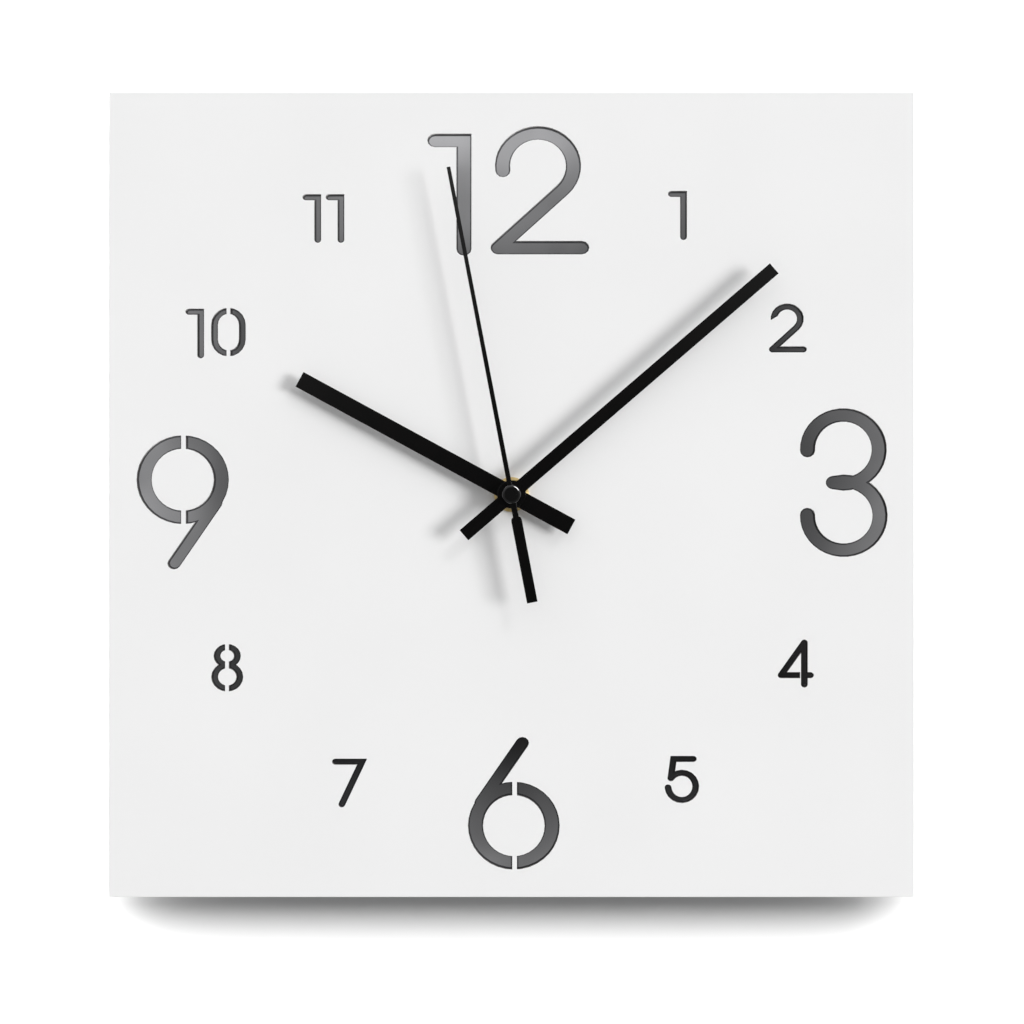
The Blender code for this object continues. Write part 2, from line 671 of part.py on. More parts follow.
def build_panel():
    half = PANEL_SIDE / 2
    panel = placed(
        "front_panel",
        block_mesh("front_panel", (-half, half), (-half, half), (PANEL_BACK, PANEL_FRONT)),
        CLOCK,
        ROOT,
    )
    edge = panel.modifiers.new("edge", "BEVEL")
    edge.width = PANEL_EDGE
    edge.segments = 1
    hole = helper(
        "panel_hole",
        rod_mesh("panel_hole", PANEL_HOLE, PANEL_BACK - OVERRUN, PANEL_FRONT + OVERRUN, steps=32),
    )
    with_boolean(panel, "DIFFERENCE", hole)
    tools = numeral_tools("big", BIG_NUMERAL_SHARES, BIG_PEN, BIG_WEB, ARC_STEP)
    tools += numeral_tools("small", SMALL_NUMERAL_SHARES, SMALL_PEN, SMALL_WEB, SMALL_ARC_STEP)
    for tool in tools:
        with_boolean(panel, "DIFFERENCE", tool)
    panel.data.materials.append(WHITE_BOARD)


def build_backing():
    half = PANEL_SIDE / 2 - BACKING_INSET
    loops = [rectangle(-half, half, -half, half), circle(PANEL_HOLE, 32)]
    piece("mirror_backing", flat_mesh("mirror_backing", loops, BACKING_BACK, BACKING_FRONT), DARK_MIRROR)


def build_hub_hardware():
    seal = ring_mesh("rubber_washer", COLLAR_RADIUS + GAP, SEAL_RADIUS, COLLAR_BACK, SEAL_FRONT)
    piece("rubber_washer", seal, RUBBER)
    washer = ring_mesh("brass_washer", PANEL_HOLE, WASHER_RADIUS, WASHER_BACK, WASHER_FRONT, 32)
    piece("brass_washer", washer, BRASS)
    corner = NUT_ACROSS_FLATS / math.sqrt(3)
    nut = flat_mesh("dial_nut", [circle(corner, 6), circle(PANEL_HOLE, 32)], NUT_BACK, NUT_FRONT)
    face = NUT_ACROSS_FLATS / 2
    skirt = [
        (0.0, NUT_FRONT + OVERRUN),
        (face - OVERRUN, NUT_FRONT + OVERRUN),
        (face + 2 * NUT_CHAMFER, NUT_FRONT - NUT_CHAMFER),
        (face + 2 * NUT_CHAMFER, NUT_BACK - OVERRUN),
        (0.0, NUT_BACK - OVERRUN),
    ]
    piece("dial_nut", nut, BRASS, keep=turned_mesh("nut_skirt", skirt, 24))
    bush = turned_mesh(
        "threaded_bush",
        [
            (BUSH_BORE, BUSH_FRONT),
            (BUSH_RADIUS, BUSH_FRONT),
            (BUSH_RADIUS, COLLAR_FRONT),
            (COLLAR_RADIUS, COLLAR_FRONT),
            (COLLAR_RADIUS, COLLAR_BACK),
            (BUSH_RADIUS, COLLAR_BACK),
            (BUSH_RADIUS, CHAMBER_END),
            (BUSH_BORE, CHAMBER_END),
        ],
    )
    piece("threaded_bush", bush, BRASS)


def hand_loop(width, reach, tail, boss):
    """A straight bar from tail to tip, swelling to a round boss at the hub."""
    half = width / 2
    lean = math.asin(half / boss)
    step = math.radians(12.0)
    left = arc((0.0, 0.0), (boss, boss), math.pi / 2 + lean, 3 * math.pi / 2 - lean, step)
    right = arc((0.0, 0.0), (boss, boss), -math.pi / 2 + lean, math.pi / 2 - lean, step)
    return [(half, reach), (-half, reach)] + left + [(-half, -tail), (half, -tail)] + right


def second_hand_loop():
    half = SECOND_WIDTH / 2
    neck = SECOND_NECK / 2
    weight = WEIGHT_WIDTH / 2
    step = math.radians(18.0)
    lean = math.asin(SECOND_ROOT / 2 / SECOND_BOSS)
    low = math.asin(neck / SECOND_BOSS)
    left = arc((0.0, 0.0), (SECOND_BOSS, SECOND_BOSS), math.pi / 2 + lean, 3 * math.pi / 2 - low, step)
    right = arc((0.0, 0.0), (SECOND_BOSS, SECOND_BOSS), low - math.pi / 2, math.pi / 2 - lean, step)
    middle = -WEIGHT_START - WEIGHT_SHOULDER
    round_off = (weight - neck, WEIGHT_SHOULDER)
    quarter = math.pi / 2
    tail = arc((-neck, middle), round_off, quarter, 2 * quarter, quarter / 3)
    tail += [(-weight, -SECOND_TAIL), (weight, -SECOND_TAIL)]
    tail += arc((neck, middle), round_off, 0.0, quarter, quarter / 3)
    bar = [(half, SECOND_TAPER), (half, SECOND_REACH), (-half, SECOND_REACH), (-half, SECOND_TAPER)]
    return bar + left + tail + right


def collet_mesh(name, bore, back, end, rise=0.0):
    sleeve = bore + COLLET_WALL
    lip = sleeve + COLLET_LIP
    flange = back + COLLET_FLANGE + rise
    profile = [(bore, end), (sleeve, end), (sleeve, flange), (lip, flange), (lip, back), (bore, back)]
    return turned_mesh(name, profile)


def build_hand(name, loop, hole, back, thickness, frame, angle):
    blade = flat_mesh(name, [loop, circle(hole, 20)], back, back + thickness)
    hand = piece(name, blade, BLACK_PAINT, frame)
    hand.rotation_euler = (0.0, 0.0, -math.radians(angle))


def build_hands():
    hour_bore = HOUR_PIPE + GAP
    minute_bore = MINUTE_PIPE + GAP
    second_bore = ARBOR_HOLE
    hour_hole = hour_bore + COLLET_WALL + GAP
    minute_hole = minute_bore + COLLET_WALL + GAP
    second_hole = second_bore + COLLET_WALL + GAP
    hour = hand_loop(HOUR_WIDTH, HOUR_REACH, HOUR_TAIL, HOUR_BOSS)
    minute = hand_loop(MINUTE_WIDTH, MINUTE_REACH, MINUTE_TAIL, MINUTE_BOSS)
    build_hand("hour_hand", hour, hour_hole, HOUR_BLADE_BACK, BLADE_THICKNESS, HOURS, HOUR_ANGLE)
    build_hand("minute_hand", minute, minute_hole, MINUTE_BLADE_BACK, BLADE_THICKNESS, MINUTES, MINUTE_ANGLE)
    second = second_hand_loop()
    build_hand("second_hand", second, second_hole, SECOND_BLADE_BACK, SECOND_THICKNESS, SECONDS, SECOND_ANGLE)
    hour_collet = collet_mesh("hour_hand_collet", hour_bore, HOUR_COLLET_BACK, HOUR_PIPE_END)
    piece("hour_hand_collet", hour_collet, BLACK_PAINT, HOURS)
    minute_collet = collet_mesh(
        "minute_hand_collet", minute_bore, MINUTE_COLLET_BACK, MINUTE_PIPE_END, MINUTE_RISE
    )
    piece("minute_hand_collet", minute_collet, BLACK_PAINT, MINUTES)
    second_collet = collet_mesh("second_hand_collet", second_bore, SECOND_COLLET_BACK, SECOND_BLADE_FRONT)
    piece("second_hand_collet", second_collet, STEEL, SECONDS)
    top = CAP_BACK + CAP_HEIGHT
    centre = (CAP_RADIUS - CAP_ROUND, top - CAP_ROUND)
    edge = arc(centre, (CAP_ROUND, CAP_ROUND), math.pi / 2, 0.0, math.radians(30.0))
    profile = [(0.0, top)] + edge + [(CAP_RADIUS, CAP_BACK), (0.0, CAP_BACK)]
    piece("second_hand_cap", turned_mesh("second_hand_cap", profile, 24), GLOSS_BLACK, SECONDS)


# Wheels
def gear_loop(teeth, module, towards, gap_towards=False):
    """Teeth round a wheel, with a tooth, or a gap between two, on the line towards its mate."""
    pitch = teeth * module / 2
    tip = pitch + ADDENDUM_SHARE * module
    root = pitch - DEDENDUM_SHARE * module
    step = 2 * math.pi / teeth
    shift = step / 2 if gap_towards else 0.0
    corners = ((root, -ROOT_SHARE), (tip, -TIP_SHARE), (tip, TIP_SHARE), (root, ROOT_SHARE))
    points = []
    for tooth in range(teeth):
        middle = towards + shift + step * tooth
        for radius, share in corners:
            turn = middle + step * share
            points.append((radius * math.cos(turn), radius * math.sin(turn)))
    return points


def gear_mesh(name, teeth, module, towards, back, front, gap_towards=False):
    return flat_mesh(name, [gear_loop(teeth, module, towards, gap_towards)], back, front)


def pinion_mesh(name, teeth, module, towards, back, front, gap_towards=False):
    return gear_mesh(name, teeth, module, towards, back - PINION_MARGIN, front + PINION_MARGIN, gap_towards)


def build_train():
    back_turn = math.pi
    rotor_leaf = pinion_mesh(
        "rotor_leaf",
        SMALL_PINION,
        ROTOR_MODULE,
        ROTOR_DIRECTION + back_turn,
        INTERMEDIATE_BACK,
        INTERMEDIATE_FRONT - PINION_MARGIN,
    )
    plate_hold = PLATE_FRONT - GAP
    arbor = rod_mesh("rotor_arbor", ARBOR_RADIUS, ARBOR_START, plate_hold, steps=12)
    magnet = rod_mesh("rotor_magnet", MAGNET_RADIUS, MAGNET_BACK, MAGNET_FRONT)
    neck = rod_mesh("rotor_neck", ARBOR_RADIUS + GAP, INTERMEDIATE_FRONT - GAP, MAGNET_FRONT + GAP, steps=16)
    piece("rotor", magnet, MAGNET, ROTOR, add=(neck, arbor, rotor_leaf))

    wheel = gear_mesh(
        "intermediate_wheel",
        INTERMEDIATE_TEETH,
        ROTOR_MODULE,
        ROTOR_DIRECTION,
        INTERMEDIATE_BACK,
        INTERMEDIATE_FRONT,
        True,
    )
    leaf = pinion_mesh(
        "intermediate_leaf",
        SMALL_PINION,
        SECOND_MODULE,
        INTERMEDIATE_DIRECTION + back_turn,
        INTERMEDIATE_FRONT,
        SECOND_WHEEL_FRONT,
    )
    arbor = rod_mesh("intermediate_arbor", ARBOR_RADIUS, ARBOR_START, plate_hold, steps=12)
    piece("intermediate_wheel", wheel, WHITE_PLASTIC, INTERMEDIATE, add=(leaf, arbor))

    wheel = gear_mesh(
        "seconds_wheel",
        SECOND_TEETH,
        SECOND_MODULE,
        INTERMEDIATE_DIRECTION,
        SECOND_WHEEL_BACK,
        SECOND_WHEEL_FRONT,
        True,
    )
    leaf = gear_mesh(
        "seconds_leaf",
        SMALL_PINION,
        THIRD_MODULE,
        THIRD_DIRECTION,
        SECOND_WHEEL_FRONT - PINION_MARGIN,
        THIRD_FRONT + PINION_MARGIN,
    )
    arbor = rod_mesh("seconds_arbor", ARBOR_RADIUS, ARBOR_START, SECOND_BLADE_FRONT, steps=16)
    piece("seconds_wheel", wheel, WHITE_PLASTIC, SECONDS, add=(leaf, arbor))

    wheel = gear_mesh(
        "third_wheel", THIRD_TEETH, THIRD_MODULE, THIRD_DIRECTION + back_turn, THIRD_BACK, THIRD_FRONT, True
    )
    leaf = gear_mesh(
        "third_leaf",
        SMALL_PINION,
        CENTRE_MODULE,
        THIRD_DIRECTION + back_turn,
        PLATE_FRONT + GAP,
        CENTRE_FRONT + PINION_MARGIN,
    )
    arbor = rod_mesh("third_arbor", ARBOR_RADIUS, ARBOR_START, CENTRE_FRONT + RUN, steps=12)
    piece("third_wheel", wheel, WHITE_PLASTIC, THIRD, add=(leaf, arbor))

    hub = ARBOR_HOLE + PIPE_WALL
    wheel = gear_mesh(
        "centre_wheel", CENTRE_TEETH, CENTRE_MODULE, THIRD_DIRECTION, CENTRE_BACK, CENTRE_FRONT, True
    )
    sleeve = rod_mesh("centre_sleeve", hub, CENTRE_BACK, SPRING_FRONT, steps=20)
    bore = rod_mesh("centre_bore", ARBOR_HOLE, CENTRE_BACK - OVERRUN, SPRING_FRONT + OVERRUN, steps=20)
    piece("centre_wheel", wheel, WHITE_PLASTIC, CENTRE, add=(sleeve,), cut=(bore,))
    spring = ring_mesh("clutch_spring", hub + GAP, hub + GAP + SPRING_WIDTH, SPRING_BACK, SPRING_FRONT)
    piece("clutch_spring", spring, STEEL, CENTRE)


def build_motion_work():
    back_turn = math.pi
    leaf = gear_mesh(
        "cannon_pinion", CANNON_TEETH, MOTION_MODULE, MOTION_DIRECTION, CANNON_BACK, CANNON_FRONT
    )
    pipe = rod_mesh("minute_pipe", MINUTE_PIPE, CANNON_BACK, MINUTE_PIPE_END, steps=20)
    bore = rod_mesh("minute_bore", ARBOR_HOLE, CANNON_BACK - OVERRUN, MINUTE_PIPE_END + OVERRUN, steps=20)
    piece("cannon_pinion", leaf, BRASS, MINUTES, add=(pipe,), cut=(bore,))

    motion_back = CANNON_BACK + PINION_MARGIN
    wheel = gear_mesh(
        "motion_wheel",
        MOTION_TEETH,
        MOTION_MODULE,
        MOTION_DIRECTION + back_turn,
        motion_back,
        CANNON_FRONT,
        True,
    )
    leaf = gear_mesh(
        "motion_leaf",
        MOTION_PINION,
        HOUR_MODULE,
        MOTION_DIRECTION + back_turn,
        CANNON_FRONT - PINION_MARGIN,
        HOUR_FRONT + PINION_MARGIN,
    )
    arbor_back = KNOB_RECESS + KNOB_THICKNESS / 2
    arbor = rod_mesh("motion_arbor", SETTING_RADIUS, arbor_back, CHAMBER_END - GAP, steps=16)
    piece("motion_wheel", wheel, WHITE_PLASTIC, MOTION, add=(leaf, arbor))

    wheel = gear_mesh(
        "hour_wheel", HOUR_TEETH, HOUR_MODULE, MOTION_DIRECTION, HOUR_BACK, HOUR_FRONT, True
    )
    pipe = rod_mesh("hour_pipe", HOUR_PIPE, HOUR_BACK, HOUR_PIPE_END, steps=20)
    collar = rod_mesh("hour_collar", HOUR_PIPE + GAP, HOUR_BACK, CHAMBER_END - GAP, steps=20)
    bore = rod_mesh("hour_bore", HOUR_BORE, HOUR_BACK - OVERRUN, HOUR_PIPE_END + OVERRUN, steps=20)
    piece("hour_wheel", wheel, WHITE_PLASTIC, HOURS, add=(collar, pipe), cut=(bore,))

    step = 2 * math.pi / KNOB_FLUTES
    flutes = []
    for flute in range(KNOB_FLUTES):
        flutes += [
            (KNOB_RADIUS * math.cos(step * flute), KNOB_RADIUS * math.sin(step * flute)),
            (
                (KNOB_RADIUS - FLUTE_DEPTH) * math.cos(step * (flute + 0.5)),
                (KNOB_RADIUS - FLUTE_DEPTH) * math.sin(step * (flute + 0.5)),
            ),
        ]
    knob = flat_mesh("setting_knob", [flutes], KNOB_RECESS, KNOB_RECESS + KNOB_THICKNESS)
    mouth = KNOB_RECESS + KNOB_THICKNESS + OVERRUN
    socket = rod_mesh("knob_socket", SETTING_RADIUS + GAP, arbor_back - GAP, mouth, steps=16)
    piece("setting_knob", knob, WHITE_PLASTIC, MOTION, cut=(socket,))


# Housing
def build_case_front():
    shell = flat_mesh(
        "case_front",
        [rounded_rectangle(-CASE_HALF, CASE_HALF, CASE_FLOOR, CASE_TOP, CASE_CORNER)],
        CASE_BACK,
        CASE_DEPTH,
    )
    inside = (-CHAMBER_HALF, CHAMBER_HALF)
    depth = (CASE_BACK - OVERRUN, CHAMBER_END)
    chamber = block_mesh("gear_chamber", inside, (CHAMBER_FLOOR, CHAMBER_TOP), depth)
    bay = block_mesh("battery_bay", inside, (BAY_FLOOR, BAY_TOP), depth)
    slot_depth = (CASE_BACK - OVERRUN, TAIL_FRONT + GAP)
    slot_wide = STRIP_SEAT + GAP
    slot_up = (BAY_TOP - GAP, CHAMBER_FLOOR + GAP)
    slots = [
        block_mesh("plus_slot", (CHAMBER_HALF - slot_wide, CHAMBER_HALF), slot_up, slot_depth),
        block_mesh("minus_slot", (-CHAMBER_HALF, slot_wide - CHAMBER_HALF), slot_up, slot_depth),
    ]
    hole = rod_mesh("bush_hole", PANEL_HOLE, CHAMBER_END - OVERRUN, CASE_DEPTH + OVERRUN, steps=32)
    piece("case_front", shell, BLACK_PLASTIC, cut=(chamber, bay, *slots, hole))


def build_case_back():
    window = rectangle(GAP - CHAMBER_HALF, CHAMBER_HALF - GAP, BAY_FLOOR + GAP, BAY_TOP - GAP)
    knob_hole = circle(KNOB_RADIUS + GAP, 24, MOTION_AXIS)
    outline = rounded_rectangle(-CASE_HALF, CASE_HALF, CASE_FLOOR, CASE_TOP, CASE_CORNER)
    cover = flat_mesh("case_back", [outline, window, knob_hole], 0.0, COVER_THICKNESS)
    sunk = COVER_THICKNESS / 2
    wall = ARBOR_HOLE + BOSS_WALL
    bosses = [rod_mesh("boss", wall, sunk, BOSS_END, axis, 16) for axis in BEARING_AXES]
    posts = [rod_mesh("post", POST_RADIUS, sunk, PLATE_BACK - GAP, foot, 12) for foot in POST_FEET]
    holes = [
        rod_mesh("bearing", ARBOR_HOLE, ARBOR_START - GAP, BOSS_END + OVERRUN, axis, 12)
        for axis in BEARING_AXES
    ]
    piece("case_back", cover, BLACK_PLASTIC, add=(*bosses, *posts), cut=holes)


def build_middle_plate():
    side = CHAMBER_HALF - GAP
    outline = rounded_rectangle(-side, side, CHAMBER_FLOOR + GAP, CHAMBER_TOP - GAP, CASE_CORNER / 2)
    loops = [outline]
    loops += [circle(ARBOR_HOLE, 12, axis) for axis in BEARING_AXES]
    loops.append(circle(SETTING_RADIUS + GAP, 16, MOTION_AXIS))
    plate = flat_mesh("middle_plate", loops, PLATE_BACK, PLATE_FRONT)
    sunk = (PLATE_BACK + PLATE_FRONT) / 2
    legs = [rod_mesh("leg", POST_RADIUS, sunk, CHAMBER_END - GAP, foot, 12) for foot in POST_FEET]
    arm = STATOR_HALF_SPAN - STATOR_ARM / 2
    feet = [Vector((ROTOR_AXIS.x + side_sign * arm, COIL_HEIGHT)) for side_sign in (-1, 1)]
    pegs = [rod_mesh("peg", POST_RADIUS, STATOR_FRONT + GAP, sunk, foot, 12) for foot in feet]
    piece("middle_plate", plate, WHITE_PLASTIC, add=(*legs, *pegs))


def build_stepper():
    left = ROTOR_AXIS.x - STATOR_HALF_SPAN
    right = ROTOR_AXIS.x + STATOR_HALF_SPAN
    low = ROTOR_AXIS.y - STATOR_BASE_BELOW
    base = ROTOR_AXIS.y + STATOR_BASE_ABOVE
    high = COIL_HEIGHT + STATOR_ARM / 2
    outline = [
        (left, low),
        (right, low),
        (right, high),
        (right - STATOR_ARM, high),
        (right - STATOR_ARM, base),
        (left + STATOR_ARM, base),
        (left + STATOR_ARM, high),
        (left, high),
    ]
    loops = [outline, circle(STATOR_HOLE, 32, ROTOR_AXIS)]
    piece("stator", flat_mesh("stator", loops, STATOR_BACK, STATOR_FRONT), STEEL)

    core_up = (COIL_HEIGHT - CORE_WIDTH / 2, COIL_HEIGHT + CORE_WIDTH / 2)
    core_depth = (CORE_BACK, CORE_BACK + CORE_THICKNESS)
    piece("coil_core", block_mesh("coil_core", (left, right), core_up, core_depth), STEEL)

    along = STATOR_HALF_SPAN - STATOR_ARM - RUN
    inner = along - FLANGE_THICKNESS
    tube = turned_mesh(
        "coil_bobbin",
        [
            (0.0, along),
            (FLANGE_RADIUS, along),
            (FLANGE_RADIUS, inner),
            (BOBBIN_RADIUS, inner),
            (BOBBIN_RADIUS, -inner),
            (FLANGE_RADIUS, -inner),
            (FLANGE_RADIUS, -along),
            (0.0, -along),
        ],
    )
    bore_up = CORE_WIDTH / 2 + GAP
    bore_side = CORE_THICKNESS / 2 + GAP
    bore = block_mesh(
        "bobbin_bore", (-bore_side, bore_side), (-bore_up, bore_up), (-along - OVERRUN, along + OVERRUN)
    )
    winding = ring_mesh("coil_winding", BOBBIN_RADIUS + GAP, WINDING_RADIUS, GAP - inner, inner - GAP)
    coil = bpy.data.objects.new("coil_axis", None)
    coil.parent = ROOT
    coil.location = (ROTOR_AXIS.x, COIL_HEIGHT, COIL_DEPTH)
    coil.rotation_euler = (0.0, math.radians(90.0), 0.0)
    CLOCK.objects.link(coil)
    piece("coil_bobbin", tube, BLACK_PLASTIC, coil, cut=(bore,))
    piece("coil_winding", winding, COPPER, coil)


def build_board():
    right = CHAMBER_HALF - 2 * GAP - STRIP_THICKNESS - GAP
    low = CHAMBER_FLOOR + 2 * GAP + STRIP_THICKNESS + GAP
    corner_post = POST_FEET[2]
    notch = POST_RADIUS + GAP
    outline = [
        (BOARD_LEFT, low),
        (corner_post.x - notch, low),
        *arc(corner_post, (notch, notch), math.pi, math.pi / 2, math.radians(22.5)),
        (right, corner_post.y + notch),
        (right, BOARD_TOP),
        (BOARD_LEFT, BOARD_TOP),
    ]
    piece("circuit_board", flat_mesh("circuit_board", [outline], BOARD_BACK, BOARD_FRONT), BOARD_GREEN)

    middle = (BOARD_LEFT + right) / 2
    chip_base = BOARD_FRONT + GAP
    dome = arc((0.0, chip_base), (CHIP_RADIUS, CHIP_HEIGHT), math.pi / 2, 0.0, math.radians(18.0))
    dome[0] = (0.0, chip_base + CHIP_HEIGHT)
    chip = piece("timing_chip", turned_mesh("timing_chip", dome + [(0.0, chip_base)], 20), RESIN)
    chip.location = (middle, (low + BOARD_TOP) / 2, 0.0)

    can = rod_mesh("quartz_crystal", CRYSTAL_RADIUS, -CRYSTAL_LENGTH / 2, CRYSTAL_LENGTH / 2, steps=20)
    crystal = piece("quartz_crystal", can, NICKEL)
    crystal.location = (
        middle,
        BOARD_TOP - CRYSTAL_LENGTH / 2 - CRYSTAL_RADIUS,
        BOARD_FRONT + GAP + CRYSTAL_RADIUS,
    )
    crystal.rotation_euler = (math.radians(90.0), 0.0, 0.0)


def build_battery():
    end = BATTERY_LENGTH
    cell = turned_mesh(
        "battery",
        [
            (0.0, end + NUB_LENGTH),
            (NUB_RADIUS, end + NUB_LENGTH),
            (NUB_RADIUS, end),
            (BATTERY_RADIUS - CELL_EDGE, end),
            (BATTERY_RADIUS, end - CELL_EDGE),
            (BATTERY_RADIUS, CELL_EDGE),
            (BATTERY_RADIUS - CELL_EDGE, 0.0),
            (0.0, 0.0),
        ],
        32,
    )
    battery = piece("battery", cell, CELL_SLEEVE)
    battery.location = (BATTERY_START, BATTERY_HEIGHT, BATTERY_DEPTH)
    battery.rotation_euler = (0.0, math.radians(90.0), 0.0)


def build_contacts():
    pad_up = (BATTERY_HEIGHT - PAD_HALF, BATTERY_HEIGHT + PAD_HALF)
    pad_depth = (TAIL_BACK, BATTERY_DEPTH + PAD_HALF)
    tail_depth = (TAIL_BACK, TAIL_FRONT)
    strip_top = CHAMBER_FLOOR + GAP + STRIP_THICKNESS
    right = (CHAMBER_HALF - STRIP_SEAT, CHAMBER_HALF - GAP)
    plus = block_mesh("plus_pad", right, pad_up, pad_depth)
    neck = block_mesh("plus_neck", right, (pad_up[0] + PAD_HALF, strip_top + PAD_HALF * 2), tail_depth)
    piece("battery_contact_plus", plus, NICKEL, add=(neck,))

    left = (GAP - CHAMBER_HALF, STRIP_SEAT - CHAMBER_HALF)
    minus = block_mesh("minus_pad", left, pad_up, pad_depth)
    neck = block_mesh("minus_neck", left, (pad_up[0] + PAD_HALF, strip_top), tail_depth)
    tail = block_mesh(
        "minus_tail", (left[0], BOARD_LEFT + PAD_HALF), (strip_top - STRIP_THICKNESS, strip_top), tail_depth
    )
    base = left[0] + STRIP_THICKNESS / 2
    tip = left[1] + DIMPLE_HEIGHT
    dimple = turned_mesh(
        "minus_dimple",
        [(0.0, tip), (DIMPLE_RADIUS / 2, tip), (DIMPLE_RADIUS, left[1]), (DIMPLE_RADIUS, base), (0.0, base)],
        20,
    )
    for vertex in dimple.vertices:
        along, across, deep = vertex.co.z, vertex.co.x, vertex.co.y
        vertex.co = (along, BATTERY_HEIGHT + across, BATTERY_DEPTH + deep)
    piece("battery_contact_minus", minus, NICKEL, add=(neck, tail, tidy(dimple)))


def build_hanger():
    base = CASE_TOP + GAP
    floor = base + HANGER_RISE
    spring = floor + HANGER_SIDES
    outer = HANGER_EYE + HANGER_WALL
    step = math.radians(15.0)
    edge = arc((0.0, spring), (outer, outer), 0.0, math.pi, step) + [(-outer, base), (outer, base)]
    eye = arc((0.0, spring), (HANGER_EYE, HANGER_EYE), 0.0, math.pi, step)
    eye += [(-HANGER_EYE, floor), (HANGER_EYE, floor)]
    loop = flat_mesh("hanger_loop", [edge, eye], 0.0, HANGER_THICKNESS)
    across = (-HANGER_FOOT_HALF, HANGER_FOOT_HALF)
    foot = block_mesh("hanger_foot", across, (base, floor - HANGER_STEP), (0.0, HANGER_FOOT))
    piece("hanger_loop", loop, BLACK_PLASTIC, add=(foot,))


build_panel()
build_backing()
build_hub_hardware()
build_hands()
build_train()
build_motion_work()
build_case_front()
build_case_back()
build_middle_plate()
build_stepper()
build_board()
build_battery()
build_contacts()
build_hanger()
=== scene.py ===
import math

import bmesh
import bpy
from mathutils import Matrix, Vector


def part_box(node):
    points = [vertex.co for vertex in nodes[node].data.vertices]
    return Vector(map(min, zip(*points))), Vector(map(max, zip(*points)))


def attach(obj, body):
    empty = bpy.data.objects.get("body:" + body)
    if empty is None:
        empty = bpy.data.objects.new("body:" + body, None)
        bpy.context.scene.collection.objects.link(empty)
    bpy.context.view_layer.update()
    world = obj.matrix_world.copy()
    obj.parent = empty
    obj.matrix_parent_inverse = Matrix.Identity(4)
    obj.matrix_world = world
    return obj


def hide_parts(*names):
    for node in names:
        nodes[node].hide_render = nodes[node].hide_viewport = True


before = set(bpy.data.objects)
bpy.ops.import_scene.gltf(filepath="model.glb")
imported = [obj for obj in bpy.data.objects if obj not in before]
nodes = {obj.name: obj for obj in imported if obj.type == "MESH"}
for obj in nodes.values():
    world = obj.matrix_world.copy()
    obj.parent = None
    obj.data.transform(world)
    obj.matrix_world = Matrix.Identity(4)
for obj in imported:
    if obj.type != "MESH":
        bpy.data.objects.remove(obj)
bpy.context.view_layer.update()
mm = 0.001
print("frame loaded:", len(nodes), "nodes")


def linearColour(hexText):  # sRGB hex to linear red, green and blue with full alpha
    def channel(value):
        value /= 255
        return value / 12.92 if value <= 0.04045 else ((value + 0.055) / 1.055) ** 2.4

    return tuple(channel(int(hexText[at:at + 2], 16)) for at in (1, 3, 5)) + (1.0,)


def addNode(tree, kind, settings=None):  # a socket is linked, any other value is set
    node = tree.nodes.new(kind)
    for key, value in (settings or {}).items():
        if not isinstance(key, int) and key not in node.inputs:
            setattr(node, key, value)
        elif isinstance(value, bpy.types.NodeSocket):
            tree.links.new(value, node.inputs[key])
        else:
            node.inputs[key].default_value = value
    return node


patches = {  # the noise is wholly the dark tone below one level, and the light tone above the other
    "dark": 0.3, "light": 0.7, "detail": 3.0, "fineDetail": 2.0,
}
wavePeriod = 0.3  # of the wave texture at scale 1


def varyColour(tree, shader, place, look):
    noise = addNode(tree, "ShaderNodeTexNoise", {
        "Vector": place, "Scale": 1 / look["patch"], "Detail": look.get("patchDetail", patches["detail"]),
    })
    ramp = addNode(tree, "ShaderNodeValToRGB", {"Fac": noise.outputs["Fac"]})
    for element, tone in zip(ramp.color_ramp.elements, ("dark", "light")):
        element.position = patches[tone]
        element.color = linearColour(look[tone])
    tree.links.new(ramp.outputs["Color"], shader.inputs["Base Color"])


def varyGloss(tree, shader, place, look):
    noise = addNode(tree, "ShaderNodeTexNoise", {
        "Vector": place, "Scale": 1 / look["gloss"], "Detail": patches["fineDetail"],
    })
    spread = addNode(tree, "ShaderNodeMapRange", {
        "Value": noise.outputs["Fac"], "To Min": look["smoothest"], "To Max": look["roughest"],
    })
    tree.links.new(spread.outputs["Result"], shader.inputs["Roughness"])


def addRelief(tree, shader, height, look):  # depth is the real height of the relief
    relief = {"Height": height, "Distance": look["depth"], "Strength": look.get("strength", 1.0)}
    tree.links.new(addNode(tree, "ShaderNodeBump", relief).outputs["Normal"], shader.inputs["Normal"])


def startFinish(name, look):  # look may give sizes for patches of colour, changes of gloss and a grain
    made = bpy.data.materials.new(name)
    made.use_nodes = True
    tree = made.node_tree
    shader = tree.nodes["Principled BSDF"]
    metallic = look.get("metallic", 0.0)
    shader.inputs["Base Color"].default_value = linearColour(look["colour"])
    shader.inputs["Roughness"].default_value = look["roughness"]
    shader.inputs["Metallic"].default_value = metallic
    if not metallic:  # a metal keeps the default IOR
        shader.inputs["IOR"].default_value = look.get("ior", 1.5)
    place = addNode(tree, "ShaderNodeTexCoord").outputs["Object"]
    if "stretch" in look:
        stretch = {"Vector": place, "Scale": look["stretch"]}
        place = addNode(tree, "ShaderNodeMapping", stretch).outputs["Vector"]
    if "patch" in look:
        varyColour(tree, shader, place, look)
    if "gloss" in look:
        varyGloss(tree, shader, place, look)
    if "grain" in look:
        grain = addNode(tree, "ShaderNodeTexNoise", {
            "Vector": place, "Scale": 1 / look["grain"],
            "Detail": look.get("grainDetail", patches["fineDetail"]),
        })
        addRelief(tree, shader, grain.outputs["Fac"], look)
    return made, tree, shader, place


def makeFinish(name, look):
    return startFinish(name, look)[0]


